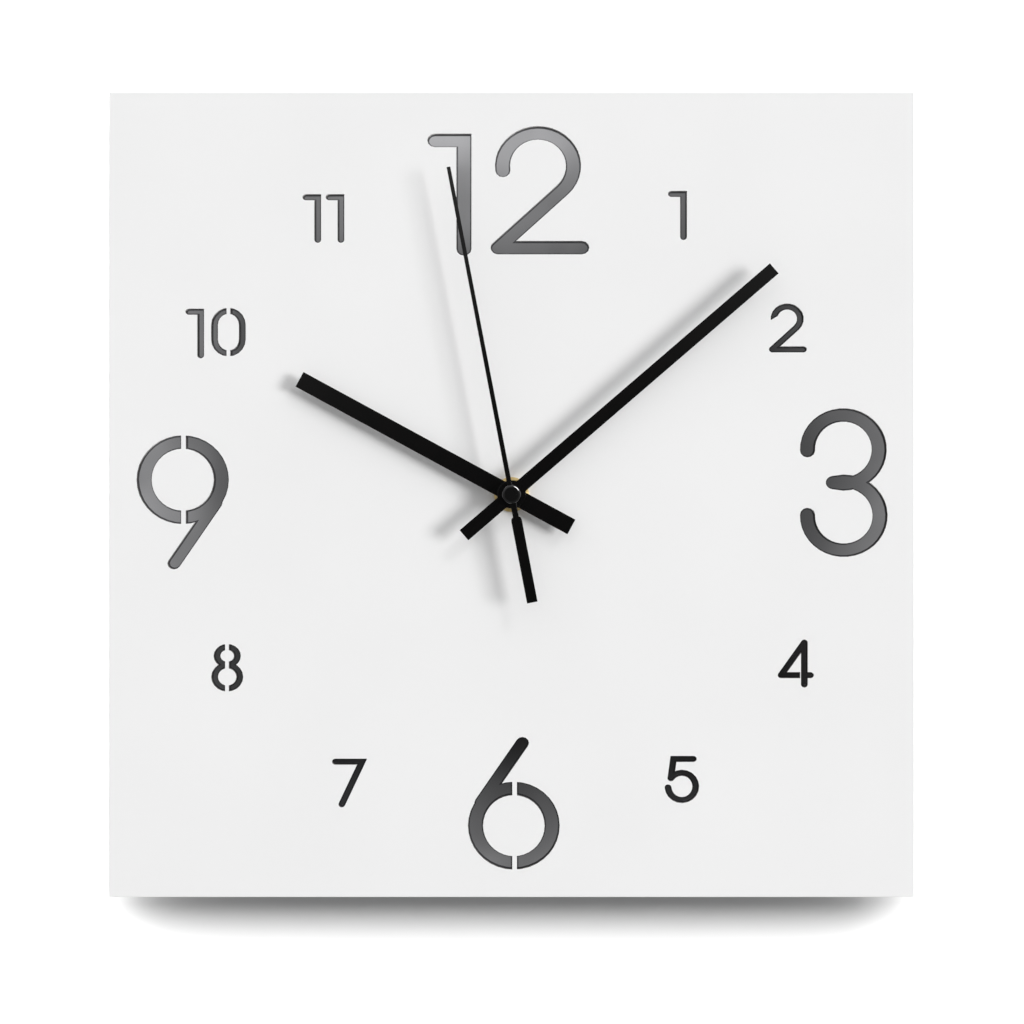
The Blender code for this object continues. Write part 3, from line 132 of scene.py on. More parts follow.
# finishes of the dial side
boardFinish = makeFinish("lacqueredBoard", {  # sprayed satin lacquer: an even white with a faint orange peel
    "colour": "#EDEDED", "roughness": 0.5,
    "patch": 60 * mm, "dark": "#ECECEC", "light": "#EEEEEE", "patchDetail": 1.0,
    "grain": 1.6 * mm, "depth": 0.004 * mm, "strength": 0.6,
})

cutEdge = {
    "colour": "#5C5A58", "roughness": 0.7, "patch": 0.6 * mm, "dark": "#4C4A48", "light": "#5C5A58",
    # the white for walls facing down is painted light, not a coat of lacquer
    "paintedLightWhite": "#E6E5E3", "paintedLightRange": {"From Min": -0.35, "From Max": -0.8},  # by how far a wall faces up
}


def laserCutEdge():  # laser-cut fibreboard: a scorched grey wall, with painted light: the wall turns white where it faces down, as if lit from below
    made, tree, shader, _ = startFinish("laserCutEdge", cutEdge)
    facing = addNode(tree, "ShaderNodeNewGeometry").outputs["Normal"]
    facesUp = addNode(tree, "ShaderNodeSeparateXYZ", {"Vector": facing}).outputs["Z"]
    # painted light: the wall is mixed towards white by how far it faces down
    share = addNode(tree, "ShaderNodeMapRange", {"Value": facesUp, **cutEdge["paintedLightRange"]}).outputs["Result"]
    scorched = shader.inputs["Base Color"].links[0].from_socket
    white = linearColour(cutEdge["paintedLightWhite"])
    mixed = addNode(tree, "ShaderNodeMix", {"data_type": "RGBA", 0: share, 6: scorched, 7: white})
    tree.links.new(mixed.outputs[2], shader.inputs["Base Color"])
    return made


arris = {
    "colour": "#2B2928", "roughness": 0.7, "specular": 0.2,
    "patch": 0.5 * mm, "dark": "#201F1E", "light": "#2B2928",
}


def scorchedArris():  # the arris left by the laser, scorched nearly black: a thin line round each figure
    made, _, shader, _ = startFinish("scorchedArris", arris)
    shader.inputs["Specular IOR Level"].default_value = arris["specular"]
    return made


cutFinish = laserCutEdge()
arrisFinish = scorchedArris()
beadShadeFinish = makeFinish("paintedContactShade", {  # a darker mirror tone: painted contact shade along each cut, where the panel meets the mirror
    "colour": "#78787B", "roughness": 0.08, "metallic": 1.0,
    "patch": 3 * mm, "dark": "#6E6E71", "light": "#828285",
    "gloss": 1.5 * mm, "smoothest": 0.06, "roughest": 0.12,
})
mirrorFinish = makeFinish("smokedMirror", {  # smoked acrylic mirror: a dim, slightly wavy reflection
    "colour": "#B9B9BB", "roughness": 0.035, "metallic": 1.0,
    "grain": 48 * mm, "grainDetail": 1.0, "depth": 0.05 * mm,
})
mirrorBack = makeFinish("mirrorBackPaint", {  # protective coat behind the mirror: a dull even grey
    "colour": "#8B8D90", "roughness": 0.6,
    "patch": 30 * mm, "dark": "#8A8C8F", "light": "#8D8F92", "patchDetail": 1.0,
    "grain": 0.8 * mm, "depth": 0.004 * mm, "strength": 0.4,
})
handFinish = makeFinish("satinBlackLacquer", {  # stoved lacquer on sheet metal: black with a dim sheen
    "colour": "#090808", "roughness": 0.13,
    "patch": 7 * mm, "dark": "#060606", "light": "#090808",
    "grain": 0.9 * mm, "depth": 0.0015 * mm, "strength": 0.5,
})
capFinish = makeFinish("glossMoulding", {  # polished black moulding: a hard small highlight
    "colour": "#060606", "roughness": 0.08, "ior": 1.46,
    "gloss": 1.2 * mm, "smoothest": 0.06, "roughest": 0.1,
})

brass = {
    "colour": "#E8D29A", "roughness": 0.28, "metallic": 1.0,
    "patch": 2.5 * mm, "dark": "#C9AB6A", "light": "#E8D29A",
    "ring": 0.16 * mm, "wander": 0.6, "depth": 0.01 * mm, "strength": 0.5,
}


def turnedBrass():  # turned brass: warm metal with rings left by the lathe
    made, tree, shader, place = startFinish("turnedBrass", brass)
    rings = addNode(tree, "ShaderNodeTexWave", {
        "wave_type": "RINGS", "rings_direction": "Y",
        "Vector": place, "Scale": wavePeriod / brass["ring"], "Distortion": brass["wander"],
    })
    addRelief(tree, shader, rings.outputs["Fac"], brass)
    return made


brassFinish = turnedBrass()

# finishes of the movement
caseFinish = makeFinish("sparkTexturedAbs", {  # moulded in a spark-eroded tool: a dull fine grain
    "colour": "#161617", "roughness": 0.5, "ior": 1.53,
    "patch": 9 * mm, "dark": "#161617", "light": "#1E1E20",
    "grain": 0.45 * mm, "grainDetail": 3.0, "depth": 0.03 * mm, "strength": 0.7,
})
inkFinish = makeFinish("padPrintedInk", {  # pale ink wiped into the sunk signs: matt, with thin spots
    "colour": "#C9C9C4", "roughness": 0.55, "patch": 0.8 * mm, "dark": "#BDBDB8", "light": "#D2D2CD",
})
wheelFinish = makeFinish("naturalAcetal", {  # natural acetal: a waxy off-white
    "colour": "#E6E3DA", "roughness": 0.38, "ior": 1.48,
    "patch": 4 * mm, "dark": "#E2DFD5", "light": "#EAE7DF",
})
steelFinish = makeFinish("rolledSteel", {  # rolled strip: fine lines along its length
    "colour": "#B5B7BA", "roughness": 0.32, "metallic": 1.0,
    "patch": 0.5 * mm, "dark": "#8E9093", "light": "#B5B7BA", "stretch": (1.0, 1.0, 0.08),
})
nickelFinish = makeFinish("nickelPlate", {  # plated spring strip: a warm bright metal with faint lines
    "colour": "#CFCCC4", "roughness": 0.24, "metallic": 1.0,
    "patch": 0.5 * mm, "dark": "#B3B0A8", "light": "#CFCCC4", "stretch": (1.0, 1.0, 0.1),
})
magnetFinish = makeFinish("sinteredFerrite", {  # sintered ferrite: a dull grey with open grains
    "colour": "#3C3C3F", "roughness": 0.6, "patch": 0.3 * mm, "dark": "#333336", "light": "#46464A",
})

winding = {
    "colour": "#B4632F", "roughness": 0.32, "metallic": 1.0,
    "patch": 1.2 * mm, "dark": "#A5562A", "light": "#C4713A", "turn": 0.2 * mm, "depth": 0.05 * mm,
}


def enamelledWire():  # wound copper wire under enamel: bright bands, drawn coarser than the 0.05 mm wire
    made, tree, shader, place = startFinish("enamelledCopperWire", winding)
    turns = addNode(tree, "ShaderNodeTexWave", {
        "bands_direction": "X", "Vector": place, "Scale": wavePeriod / winding["turn"],
    })
    addRelief(tree, shader, turns.outputs["Fac"], winding)
    return made


wireFinish = enamelledWire()
maskFinish = makeFinish("solderMask", {  # green solder mask over etched tracks: a darker and a lighter green
    "colour": "#1F5F3C", "roughness": 0.35,
    "patch": 1.8 * mm, "dark": "#195034", "light": "#2A7048", "patchDetail": 0.0,
})
resinFinish = makeFinish("castResin", {  # black blob of cast resin: smooth and slightly uneven
    "colour": "#101011", "roughness": 0.22, "gloss": 0.8 * mm, "smoothest": 0.16, "roughest": 0.3,
})
rubberFinish = makeFinish("nitrileRubber", {  # moulded nitrile rubber: matt and a little grey
    "colour": "#1D1D1E", "roughness": 0.75, "patch": 1.5 * mm, "dark": "#19191A", "light": "#252526",
})

sleeve = {
    "colour": "#2F5F8C", "roughness": 0.3, "gloss": 3 * mm, "smoothest": 0.24, "roughest": 0.36,
    "band": "#C9CBCD", "bandStart": 0.70, "bandEnd": 0.74,
}


def printedSleeve():  # shrunk plastic sleeve on the cell: a plain blue with one pale band near the plus end
    made, tree, shader, place = startFinish("printedSleeve", sleeve)
    low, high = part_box("battery")
    across = addNode(tree, "ShaderNodeSeparateXYZ", {"Vector": place}).outputs["X"]
    along = addNode(tree, "ShaderNodeMapRange", {"Value": across, "From Min": low[0], "From Max": high[0]})
    ramp = addNode(tree, "ShaderNodeValToRGB", {"Fac": along.outputs["Result"]})
    ramp.color_ramp.interpolation = "CONSTANT"
    elements = ramp.color_ramp.elements
    elements[1].position = sleeve["bandEnd"]
    elements.new(sleeve["bandStart"])
    for element, tone in zip(elements, ("colour", "band", "colour")):
        element.color = linearColour(sleeve[tone])
    tree.links.new(ramp.outputs["Color"], shader.inputs["Base Color"])
    return made


sleeveFinish = printedSleeve()
print("finishes made")


merging = {"doubles": 0.002 * mm, "flat": math.radians(0.5), "near": 0.02 * mm, "level": 0.999, "steep": 0.5}
softEdge = {"segments": 2, "angle": math.radians(32)}


def mergedShape(nodeName):  # a copy of a CAD node with its loose triangles joined to clean faces
    work = bmesh.new()
    work.from_mesh(nodes[nodeName].data)
    bmesh.ops.remove_doubles(work, verts=work.verts, dist=merging["doubles"])
    bmesh.ops.dissolve_limit(
        work, angle_limit=merging["flat"], verts=work.verts, edges=work.edges, use_dissolve_boundaries=False
    )
    work.normal_update()
    return work


def roundEdges(work, edges, width, segments, finish=0):
    made = bmesh.ops.bevel(
        work, geom=edges, offset=width, offset_type="OFFSET", segments=segments,
        profile=0.5, affect="EDGES", material=-1, clamp_overlap=True,
    )
    for face in made["faces"]:
        face.material_index = finish


def spunShape(profile, axis, centre, steps, rounds=()):
    work = bmesh.new()
    up = Vector((0, 0, 1))  # no piece here turns about the vertical
    verts = [work.verts.new(centre + up * radius + axis * along) for radius, along in profile]
    edges = [work.edges.new(pair) for pair in zip(verts, verts[1:])]
    bmesh.ops.spin(
        work, geom=verts + edges, cent=centre, axis=axis, dvec=(0, 0, 0), angle=2 * math.pi,
        steps=steps, use_merge=True, use_duplicate=False,
    )
    bmesh.ops.remove_doubles(work, verts=work.verts, dist=merging["doubles"])
    bmesh.ops.recalc_face_normals(work, faces=work.faces)
    for radius, along, width, segments in rounds:
        roundEdges(work, ringEdges(work, axis, centre, radius, along), width, segments)
    return work


def ringEdges(work, axis, centre, radius, along):
    def onRing(vert):
        reach = vert.co - centre
        height = reach.dot(axis)
        away = (reach - axis * height).length
        return abs(height - along) < merging["near"] and abs(away - radius) < merging["near"]

    return [edge for edge in work.edges if all(onRing(vert) for vert in edge.verts)]


def pieceFrom(work, pieceName):
    mesh = bpy.data.meshes.new(pieceName)
    work.to_mesh(mesh)
    work.free()
    piece = bpy.data.objects.new(pieceName, mesh)
    bpy.context.scene.collection.objects.link(piece)
    return piece


def softenEdges(piece, width):
    bevel = piece.modifiers.new("softEdge", "BEVEL")
    bevel.width = width
    bevel.segments = softEdge["segments"]
    bevel.profile = 0.5
    bevel.limit_method = "ANGLE"
    bevel.angle_limit = softEdge["angle"]
    bevel.use_clamp_overlap = True
    bevel.harden_normals = True


def dress(piece, body, nodeName, *finishes):
    for finish in finishes:
        piece.data.materials.append(finish)
    piece.data.shade_smooth()
    piece.data.set_sharp_from_angle(angle=softEdge["angle"])
    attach(piece, body)
    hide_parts(nodeName)
    return piece


panel = {  # rounded outer edge, arris of the cuts, least distance of a cut from the outline, a sharp turn
    "edge": 0.06 * mm, "arris": 0.17 * mm, "border": 1.0 * mm, "turn": math.radians(60),
}
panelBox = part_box("front_panel")


def isCut(face):  # a wall inside a numeral or the hub's hole
    low, high = panelBox
    middle = face.calc_center_median()
    inside = min(middle.x - low[0], high[0] - middle.x, middle.z - low[2], high[2] - middle.z)
    return abs(face.normal.y) < merging["steep"] and inside > panel["border"]


def makePanel():  # its finishes are lacquer, cut wall and arris
    front = panelBox[0][1]
    work = mergedShape("front_panel")
    for face in work.faces:
        face.material_index = 1 if isCut(face) else 0
    rims = [
        edge for edge in work.edges
        if sum(face.material_index for face in edge.link_faces) == 1
        and all(vert.co.y < front + merging["near"] for vert in edge.verts)
    ]
    roundEdges(work, rims, panel["arris"], 1, finish=2)
    work.normal_update()
    outline = [
        edge for edge in work.edges
        if edge.calc_face_angle(0.0) > panel["turn"] and not any(isCut(face) for face in edge.link_faces)
    ]
    roundEdges(work, outline, panel["edge"], 2)
    piece = pieceFrom(work, "frontPanelBoard")
    dress(piece, "clock", "front_panel", boardFinish, cutFinish, arrisFinish)
    for face in piece.data.polygons:  # the board itself stays flat
        face.use_smooth = abs(face.normal.y) < merging["level"]


backing = {"edge": 0.25 * mm}


def makeBacking():
    work = mergedShape("mirror_backing")
    for face in work.faces:
        face.material_index = 1 if face.normal.y > merging["steep"] else 0
    piece = pieceFrom(work, "smokedMirrorSheet")
    dress(piece, "clock", "mirror_backing", mirrorFinish, mirrorBack)
    softenEdges(piece, backing["edge"])


bead = {  # width of the ledge, gap left to the mirror, and the reach of the hub's hole, which has no bead
    "reach": 0.52 * mm, "short": 0.01 * mm, "hub": 20 * mm,
}


def makeBead():  # fills the gap behind the panel and shows as a narrow ledge inside each numeral, coloured darker than the mirror as painted contact shade
    panelBack = panelBox[1][1]
    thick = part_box("mirror_backing")[0][1] - panelBack - bead["short"]
    work = mergedShape("front_panel")
    bmesh.ops.delete(work, geom=[face for face in work.faces if not isCut(face)], context="FACES")
    rims = [
        edge for edge in work.edges
        if edge.is_boundary and all(vert.co.y > panelBack - merging["near"] for vert in edge.verts)
    ]
    walls = list(work.faces)
    fills = bmesh.ops.edgeloop_fill(work, edges=rims)["faces"]
    bmesh.ops.delete(work, geom=walls, context="FACES")
    atHub = [face for face in fills if face.calc_center_median().xz.length < bead["hub"]]
    bmesh.ops.delete(work, geom=atHub, context="FACES")
    fills = list(work.faces)
    bmesh.ops.inset_region(
        work, faces=fills, thickness=bead["reach"], use_even_offset=True, use_boundary=True
    )
    bmesh.ops.delete(work, geom=fills, context="FACES")
    raised = bmesh.ops.extrude_face_region(work, geom=list(work.faces), use_keep_orig=True)["geom"]
    moved = [part for part in raised if isinstance(part, bmesh.types.BMVert)]
    bmesh.ops.translate(work, verts=moved, vec=(0, thick, 0))
    bmesh.ops.recalc_face_normals(work, faces=work.faces)
    piece = pieceFrom(work, "glueBeadPaintedShade")
    # the ledge's darker mirror tone is painted shade, not a smoked glue
    piece.data.materials.append(beadShadeFinish)
    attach(piece, "clock")


makePanel()
makeBacking()
makeBead()
print("panel and mirror made")

hands = {
    "edge": 0.07 * mm,
    "pieces": {
        "hour_hand": ("hours", "hourHandBlade"), "hour_hand_collet": ("hours", "hourHandCollet"),
        "minute_hand": ("minutes", "minuteHandBlade"), "minute_hand_collet": ("minutes", "minuteHandCollet"),
        "second_hand": ("seconds", "secondHandBlade"),
    },
}


def makeHands():
    for nodeName, (body, pieceName) in hands["pieces"].items():
        piece = pieceFrom(mergedShape(nodeName), pieceName)
        dress(piece, body, nodeName, handFinish)
        softenEdges(piece, hands["edge"])


def middleOfRear(nodeName):  # where the node's axis meets its rear face, from which a piece is spun forwards
    low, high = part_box(nodeName)
    return Vector(((low[0] + high[0]) / 2, high[1], (low[2] + high[2]) / 2))


cap = {  # rounds as width and segments
    "foot": (0.12 * mm, 1), "shoulder": (0.8 * mm, 6), "crown": 0.03 * mm, "flat": 2.6 * mm, "steps": 64,
}


def makeCap():
    low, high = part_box("second_hand_cap")
    radius, height = (high[0] - low[0]) / 2, high[1] - low[1]
    edge = height - cap["crown"]
    rim = height - cap["crown"] * cap["flat"] / radius
    profile = [(0.0, 0.0), (radius, 0.0), (radius, edge), (cap["flat"], rim), (0.0, height)]
    rounds = [(radius, edge, *cap["shoulder"]), (radius, 0.0, *cap["foot"])]
    work = spunShape(profile, Vector((0, -1, 0)), middleOfRear("second_hand_cap"), cap["steps"], rounds)
    return dress(pieceFrom(work, "glossHubCap"), "seconds", "second_hand_cap", capFinish)


washer = {"bore": 4.3 * mm, "round": (0.15 * mm, 2), "steps": 96}


def makeWasher():
    low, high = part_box("brass_washer")
    outer, thick = (high[0] - low[0]) / 2, high[1] - low[1]
    bore = washer["bore"]
    profile = [(bore, 0.0), (outer, 0.0), (outer, thick), (bore, thick), (bore, 0.0)]
    rounds = [(outer, 0.0, *washer["round"]), (outer, thick, *washer["round"])]
    work = spunShape(profile, Vector((0, -1, 0)), middleOfRear("brass_washer"), washer["steps"], rounds)
    dress(pieceFrom(work, "turnedBrassWasher"), "clock", "brass_washer", brassFinish)


nut = {"edge": 0.1 * mm}


def makeNut():
    piece = pieceFrom(mergedShape("dial_nut"), "hexBrassNut")
    dress(piece, "clock", "dial_nut", brassFinish)
    softenEdges(piece, nut["edge"])


makeHands()
hubCap = makeCap()
makeWasher()
makeNut()
print("hands and hub made")

battery = {
    "button": 2.75 * mm, "buttonHigh": 1.0 * mm, "dish": 0.15 * mm, "dishShare": 0.8, "steps": 72,
    "shoulder": (0.7 * mm, 4), "round": (0.25 * mm, 3), "root": (0.25 * mm, 2),
    "end": 0.6,  # faces that look further along the cell than this are bare metal
}


def makeBattery():
    low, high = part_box("battery")
    radius, length = (high[2] - low[2]) / 2, high[0] - low[0]
    centre = Vector((low[0], (low[1] + high[1]) / 2, (low[2] + high[2]) / 2))
    top, button, dish = length - battery["buttonHigh"], battery["button"], battery["dishShare"] * radius
    profile = [
        (0.0, battery["dish"]), (dish, battery["dish"]), (dish, 0.0), (radius, 0.0), (radius, top),
        (button, top), (button, length), (0.0, length),
    ]
    rounds = [
        (radius, 0.0, *battery["shoulder"]), (radius, top, *battery["shoulder"]),
        (button, length, *battery["round"]), (button, top, *battery["root"]),
    ]
    work = spunShape(profile, Vector((1, 0, 0)), centre, battery["steps"], rounds)
    for face in work.faces:
        bare = abs(face.normal.x) > battery["end"] or face.calc_center_median().x > low[0] + top
        face.material_index = 1 if bare else 0
    dress(pieceFrom(work, "sleevedCell"), "clock", "battery", sleeveFinish, nickelFinish)


housing = {  # body, piece and width of the softened edges
    "case_front": ("clock", "movementHousing", 0.2 * mm),
    "case_back": ("clock", "movementCover", 0.2 * mm),
    "hanger_loop": ("clock", "hangerEye", 0.3 * mm),
    "setting_knob": ("motion", "flutedSettingKnob", 0.12 * mm),
}
cover = {  # sunk fields as left, right, bottom and top in mm
    "deep": 0.4 * mm,
    "labels": [(-20, 20, 10.5, 22)],
    "signs": [(-23.2, -18.8, -8.6, -7.4), (18.8, 23.2, -8.6, -7.4), (20.4, 21.6, -10.2, -5.8)],
}


def sinkMarks(work):  # a bare label field, a minus and a plus are sunk in the rear face of the cover
    back = max(vert.co.y for vert in work.verts)

    def rearFaces():
        return [
            face for face in work.faces
            if face.normal.y > merging["level"] and face.calc_center_median().y > back - merging["near"]
        ]

    def isIn(face, fields):
        x, _, z = face.calc_center_median() / mm
        return any(left < x < right and low < z < high for left, right, low, high in fields)

    fields = cover["labels"] + cover["signs"]
    side, up = Vector((1, 0, 0)), Vector((0, 0, 1))
    for left, right, low, high in fields:
        for place, normal in ((left, side), (right, side), (low, up), (high, up)):
            parts = dict.fromkeys(part for face in rearFaces() for part in (face, *face.edges, *face.verts))
            bmesh.ops.bisect_plane(
                work, geom=list(parts), plane_co=normal * place * mm, plane_no=normal, dist=merging["doubles"]
            )
    work.normal_update()
    sunk = [face for face in rearFaces() if isIn(face, fields)]
    lowered = bmesh.ops.extrude_face_region(work, geom=sunk)["geom"]
    bmesh.ops.delete(work, geom=sunk, context="FACES")  # they would close the sunk fields
    for part in lowered:
        if isinstance(part, bmesh.types.BMFace) and isIn(part, cover["signs"]):
            part.material_index = 1
    moved = [part for part in lowered if isinstance(part, bmesh.types.BMVert)]
    bmesh.ops.translate(work, verts=moved, vec=(0, -cover["deep"], 0))
    bmesh.ops.dissolve_limit(
        work, angle_limit=merging["flat"], verts=work.verts, edges=work.edges, delimit={"MATERIAL"}
    )
    work.normal_update()


def makeHousing():
    for nodeName, (body, pieceName, edge) in housing.items():
        work = mergedShape(nodeName)
        if nodeName == "case_back":
            sinkMarks(work)
        finish = wheelFinish if nodeName == "setting_knob" else caseFinish
        piece = pieceFrom(work, pieceName)
        dress(piece, body, nodeName, finish, inkFinish)
        softenEdges(piece, edge)


makeBattery()
makeHousing()
print("battery and housing made")

carried = {  # CAD nodes that stay as they are, by finish
    "rotor": magnetFinish, "intermediate_wheel": wheelFinish, "seconds_wheel": wheelFinish,
    "third_wheel": wheelFinish, "centre_wheel": wheelFinish, "motion_wheel": wheelFinish,
    "hour_wheel": wheelFinish, "middle_plate": wheelFinish, "cannon_pinion": brassFinish,
    "threaded_bush": brassFinish, "clutch_spring": steelFinish, "stator": steelFinish,
    "coil_core": steelFinish, "second_hand_collet": steelFinish, "coil_bobbin": caseFinish,
    "coil_winding": wireFinish, "circuit_board": maskFinish, "timing_chip": resinFinish,
    "quartz_crystal": nickelFinish, "battery_contact_plus": nickelFinish,
    "battery_contact_minus": nickelFinish, "rubber_washer": rubberFinish,
}
for nodeName, finish in carried.items():
    mesh = nodes[nodeName].data
    mesh.materials.clear()
    mesh.materials.append(finish)
print("CAD nodes finished:", len(carried))


shot = {  # the panel's width and middle and the picture's side in pixels, the camera's distance in metres
    "panelSide": 805, "panelX": 511.5, "panelY": 494.5, "image": 1024, "distance": 1.2,
}

# a dim studio in front, which the mirror shows: places in mm from the dial's middle, where 1 is white paper
room = {
    "reach": 150, "dim": 0.012,
    "areas": {
        "ceiling": {
            "along": "up",
            "levels": [
                (60, 0.0), (85, 0.08), (97, 0.31), (104, 0.38), (122.6, 0.5), (124.2, 0.56), (128, 0.6),
                (131, 0.72), (138, 0.86),
            ],
            "across": "side",
            "shares": [(-150, 0.5), (-70, 0.85), (-23, 1.0), (11, 0.9), (62, 0.58), (150, 0.4)],
        },
        "leftWall": {
            "along": "side",
            "levels": [(-150, 0.55), (-132, 0.46), (-114, 0.27), (-97, 0.12), (-85, 0.0)],
            "across": "up",
            "shares": [
                (-150, 0.4), (-68, 0.5), (-50, 0.36), (-25, 1.0), (-2, 1.3), (14, 1.04), (80, 1.0),
                (150, 0.5),
            ],
        },
        "rightWall": {
            "along": "side",
            "levels": [(85, 0.0), (97, 0.08), (115, 0.19), (132, 0.35), (150, 0.45)],
            "across": "up",
            "shares": [(-150, 0.2), (-46, 0.15), (-20, 0.9), (40, 0.9), (80, 0.8), (150, 0.5)],
        },
        "table": {
            "along": "up",
            "levels": [(-150, 0.36), (-127, 0.31), (-119, 0.2), (-108, 0.13), (-88, 0.03), (-80, 0.0)],
            "across": "side",
            "shares": [
                (-150, 0.6), (-61, 0.4), (-14, 1.4), (-3, 0.86), (4, 0.86), (12, 1.3), (63, 0.3),
                (150, 0.4),
            ],
        },
    },
    "streak": 0.011, "streakDetail": 2.0,
    "streaks": {"From Min": 0.25, "From Max": 0.75, "To Min": 0.76, "To Max": 1.24},
    "surround": {"From Min": -0.05, "From Max": 0.5, "To Min": 0.28, "To Max": 1.0},  # floor up to ceiling
    "mirrorEnds": {"From Min": -0.97, "From Max": -0.8},  # the way forward at which the surround takes over
    "frontEnds": {"From Min": -0.1, "From Max": 0.1}, "behindLevel": 0.7,
    "windowWay": (0.5, -0.6, 0.6), "windowOuter": 6.0, "windowInner": 4.0, "windowLevel": 14.0,
}


def tonesAlong(tree, stops, value):  # stops in mm from the dial's middle
    node = addNode(tree, "ShaderNodeValToRGB", {"Fac": value})
    elements = node.color_ramp.elements
    while len(elements) < len(stops):
        elements.new(1.0)
    for element, (place, level) in zip(elements, stops):
        element.position = 0.5 + place / (2 * room["reach"])
        element.color = (level, level, level, 1.0)
    return node.outputs["Color"]


def mirroredTones(tree, way, axes):  # the four soft areas of the room, with faint streaks
    reach = room["reach"] * mm / shot["distance"]
    places = {}
    for name, axis in (("side", "X"), ("up", "Z")):
        span = {"Value": axes[axis], "From Min": -reach, "From Max": reach}
        places[name] = addNode(tree, "ShaderNodeMapRange", span).outputs["Result"]
    tones = room["dim"]
    for area in room["areas"].values():
        level = tonesAlong(tree, area["levels"], places[area["along"]])
        share = tonesAlong(tree, area["shares"], places[area["across"]])
        summed = addNode(tree, "ShaderNodeMath", {"operation": "MULTIPLY_ADD", 0: level, 1: share, 2: tones})
        tones = summed.outputs["Value"]
    noise = addNode(tree, "ShaderNodeTexNoise", {
        "Vector": way, "Scale": 1 / room["streak"], "Detail": room["streakDetail"],
    })
    streak = addNode(tree, "ShaderNodeMapRange", {"Value": noise.outputs["Fac"], **room["streaks"]})
    streaked = {"operation": "MULTIPLY", 0: tones, 1: streak.outputs["Result"]}
    return addNode(tree, "ShaderNodeMath", streaked).outputs["Value"]


def makeRoom():
    world = bpy.data.worlds.new("studio")
    bpy.context.scene.world = world
    world.use_nodes = True
    tree = world.node_tree
    tree.nodes.clear()
    way = addNode(tree, "ShaderNodeTexCoord").outputs["Generated"]
    axes = addNode(tree, "ShaderNodeSeparateXYZ", {"Vector": way}).outputs
    mirrored = mirroredTones(tree, way, axes)
    surround = addNode(tree, "ShaderNodeMapRange", {"Value": axes["Z"], **room["surround"]}).outputs["Result"]
    aside = addNode(tree, "ShaderNodeMapRange", {"Value": axes["Y"], **room["mirrorEnds"]}).outputs["Result"]
    front = addNode(tree, "ShaderNodeMix", {0: aside, 2: mirrored, 3: surround}).outputs[0]
    behind = addNode(tree, "ShaderNodeMapRange", {"Value": axes["Y"], **room["frontEnds"]}).outputs["Result"]
    lit = addNode(tree, "ShaderNodeMix", {0: behind, 2: front, 3: room["behindLevel"]}).outputs[0]
    window = Vector(room["windowWay"]).normalized()
    facing = addNode(tree, "ShaderNodeVectorMath", {"operation": "DOT_PRODUCT", 0: way, 1: window})
    outer, inner = (math.cos(math.radians(room[key])) for key in ("windowOuter", "windowInner"))
    pane = addNode(tree, "ShaderNodeMapRange", {
        "Value": facing.outputs["Value"], "From Min": outer, "From Max": inner, "To Max": room["windowLevel"],
    }).outputs["Result"]
    total = addNode(tree, "ShaderNodeMath", {"operation": "ADD", 0: lit, 1: pane}).outputs["Value"]
    light = addNode(tree, "ShaderNodeBackground", {"Color": total}).outputs[0]
    white = addNode(tree, "ShaderNodeBackground", {"Color": (1, 1, 1, 1)}).outputs[0]
    seen = addNode(tree, "ShaderNodeLightPath").outputs["Is Camera Ray"]
    both = addNode(tree, "ShaderNodeMixShader", {0: seen, 1: light, 2: white}).outputs[0]
    addNode(tree, "ShaderNodeOutputWorld", {"Surface": both})


wall = {"size": 3.0, "gap": 0.4 * mm, "colour": "#C8C8C8"}  # the gap keeps it off the rear cover


def whiteWall():  # matt white wall paint, seen from the front only
    made = bpy.data.materials.new("whiteWall")
    made.use_nodes = True
    tree = made.node_tree
    tree.nodes.clear()
    paint = addNode(tree, "ShaderNodeBsdfDiffuse", {"Color": linearColour(wall["colour"])}).outputs[0]
    clear = addNode(tree, "ShaderNodeBsdfTransparent").outputs[0]
    rear = addNode(tree, "ShaderNodeNewGeometry").outputs["Backfacing"]
    both = addNode(tree, "ShaderNodeMixShader", {0: rear, 1: paint, 2: clear}).outputs[0]
    addNode(tree, "ShaderNodeOutputMaterial", {"Surface": both})
    return made


def makeWall():
    work = bmesh.new()
    bmesh.ops.create_grid(work, x_segments=1, y_segments=1, size=wall["size"] / 2)
    bmesh.ops.rotate(work, verts=work.verts, cent=(0, 0, 0), matrix=Matrix.Rotation(math.pi / 2, 3, "X"))
    bmesh.ops.translate(work, verts=work.verts, vec=(0, wall["gap"], 0))
    sheet = pieceFrom(work, "wallSheet")
    sheet.data.materials.append(whiteWall())
    sheet.visible_shadow = False
    sheet.visible_diffuse = False
    return sheet


key = {"slant": 51.0, "rise": 1.0, "level": 0.43, "soft": 20.0}
glint = {"level": 44.0, "soft": 38.0}  # a strip of daylight from the window on the cap's shoulder
wallLamp = {  # a wide round lamp overhead that lights only the wall and casts the panel's shadow down it
    "rise": 60.0, "distance": 4.0, "size": 9.6, "narrow": 0.85, "level": 10.6,
}


def wayTo(slant, rise):  # from the dial's middle towards a lamp, in degrees to the right and up
    slant, rise = math.radians(slant), math.radians(rise)
    return Vector((math.sin(slant) * math.cos(rise), -math.cos(slant) * math.cos(rise), math.sin(rise)))


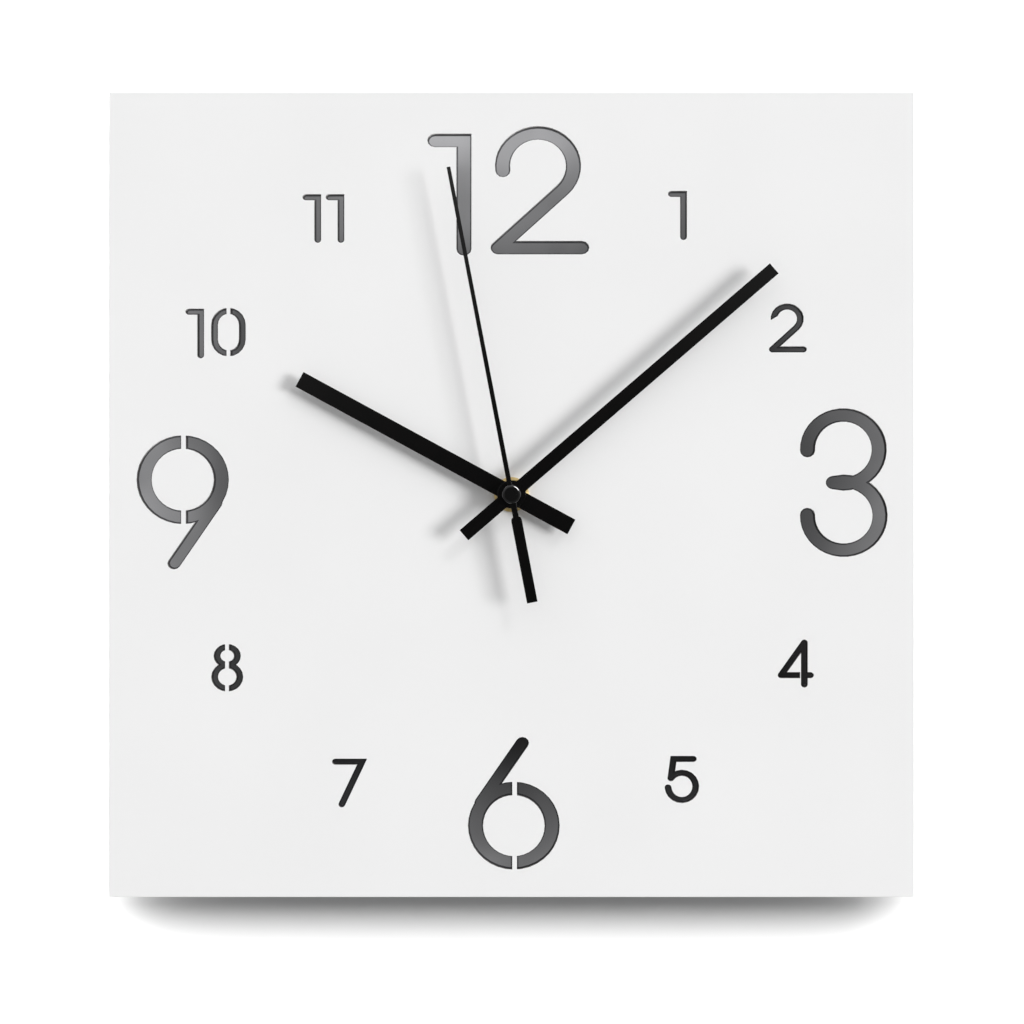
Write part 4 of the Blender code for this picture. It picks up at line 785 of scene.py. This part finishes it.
def hangLamp(data, towards, distance, linkState, receivers):  # it lights the receivers alone, or all but them
    lamp = bpy.data.objects.new(data.name, data)
    bpy.context.scene.collection.objects.link(lamp)
    lamp.location = towards * distance
    lamp.rotation_euler = towards.to_track_quat("Z", "Y").to_euler()
    group = bpy.data.collections.new(f"{data.name}Lights")
    for receiver in receivers:
        group.objects.link(receiver)
    for row in group.collection_objects:
        row.light_linking.link_state = linkState
    lamp.light_linking.receiver_collection = group


def makeLamps(sheet, button):
    data = bpy.data.lights.new("keyLamp", "SUN")
    towards = wayTo(key["slant"], key["rise"])
    data.angle = math.radians(key["soft"])
    data.energy = key["level"] * math.pi / -towards.y
    hangLamp(data, towards, 1.0, "EXCLUDE", [sheet, button])

    data = bpy.data.lights.new("glintLamp", "SUN")
    data.angle = math.radians(glint["soft"])
    data.energy = glint["level"] * math.pi * math.sin(data.angle / 2) ** 2
    hangLamp(data, Vector(room["windowWay"]).normalized(), 1.0, "INCLUDE", [button])

    data = bpy.data.lights.new("wallLamp", "AREA")
    data.shape = "ELLIPSE"
    data.size, data.size_y = wallLamp["size"] * wallLamp["narrow"], wallLamp["size"]
    data.energy = wallLamp["level"] * math.pi * math.pi / 4 * data.size * data.size_y
    hangLamp(data, wayTo(0.0, wallLamp["rise"]), wallLamp["distance"], "INCLUDE", [sheet])


def makeCamera():  # straight in front, aimed so that the panel lies where it does in the photograph
    low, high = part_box("front_panel")
    scale = (high[0] - low[0]) / shot["panelSide"]  # metres for a pixel at the face of the panel
    data = bpy.data.cameras.new("camera")
    data.lens = data.sensor_width * shot["distance"] / (shot["image"] * scale)
    camera = bpy.data.objects.new("camera", data)
    bpy.context.scene.collection.objects.link(camera)
    middle = shot["image"] / 2
    across, up = (middle - shot["panelX"]) * scale, (shot["panelY"] - middle) * scale
    camera.location = (across, low[1] - shot["distance"], up)
    camera.rotation_euler = (math.pi / 2, 0, 0)
    bpy.context.scene.camera = camera


makeRoom()
makeLamps(makeWall(), hubCap)
makeCamera()
bpy.context.scene.view_settings.view_transform = "Standard"
print("room, lamps and camera made")
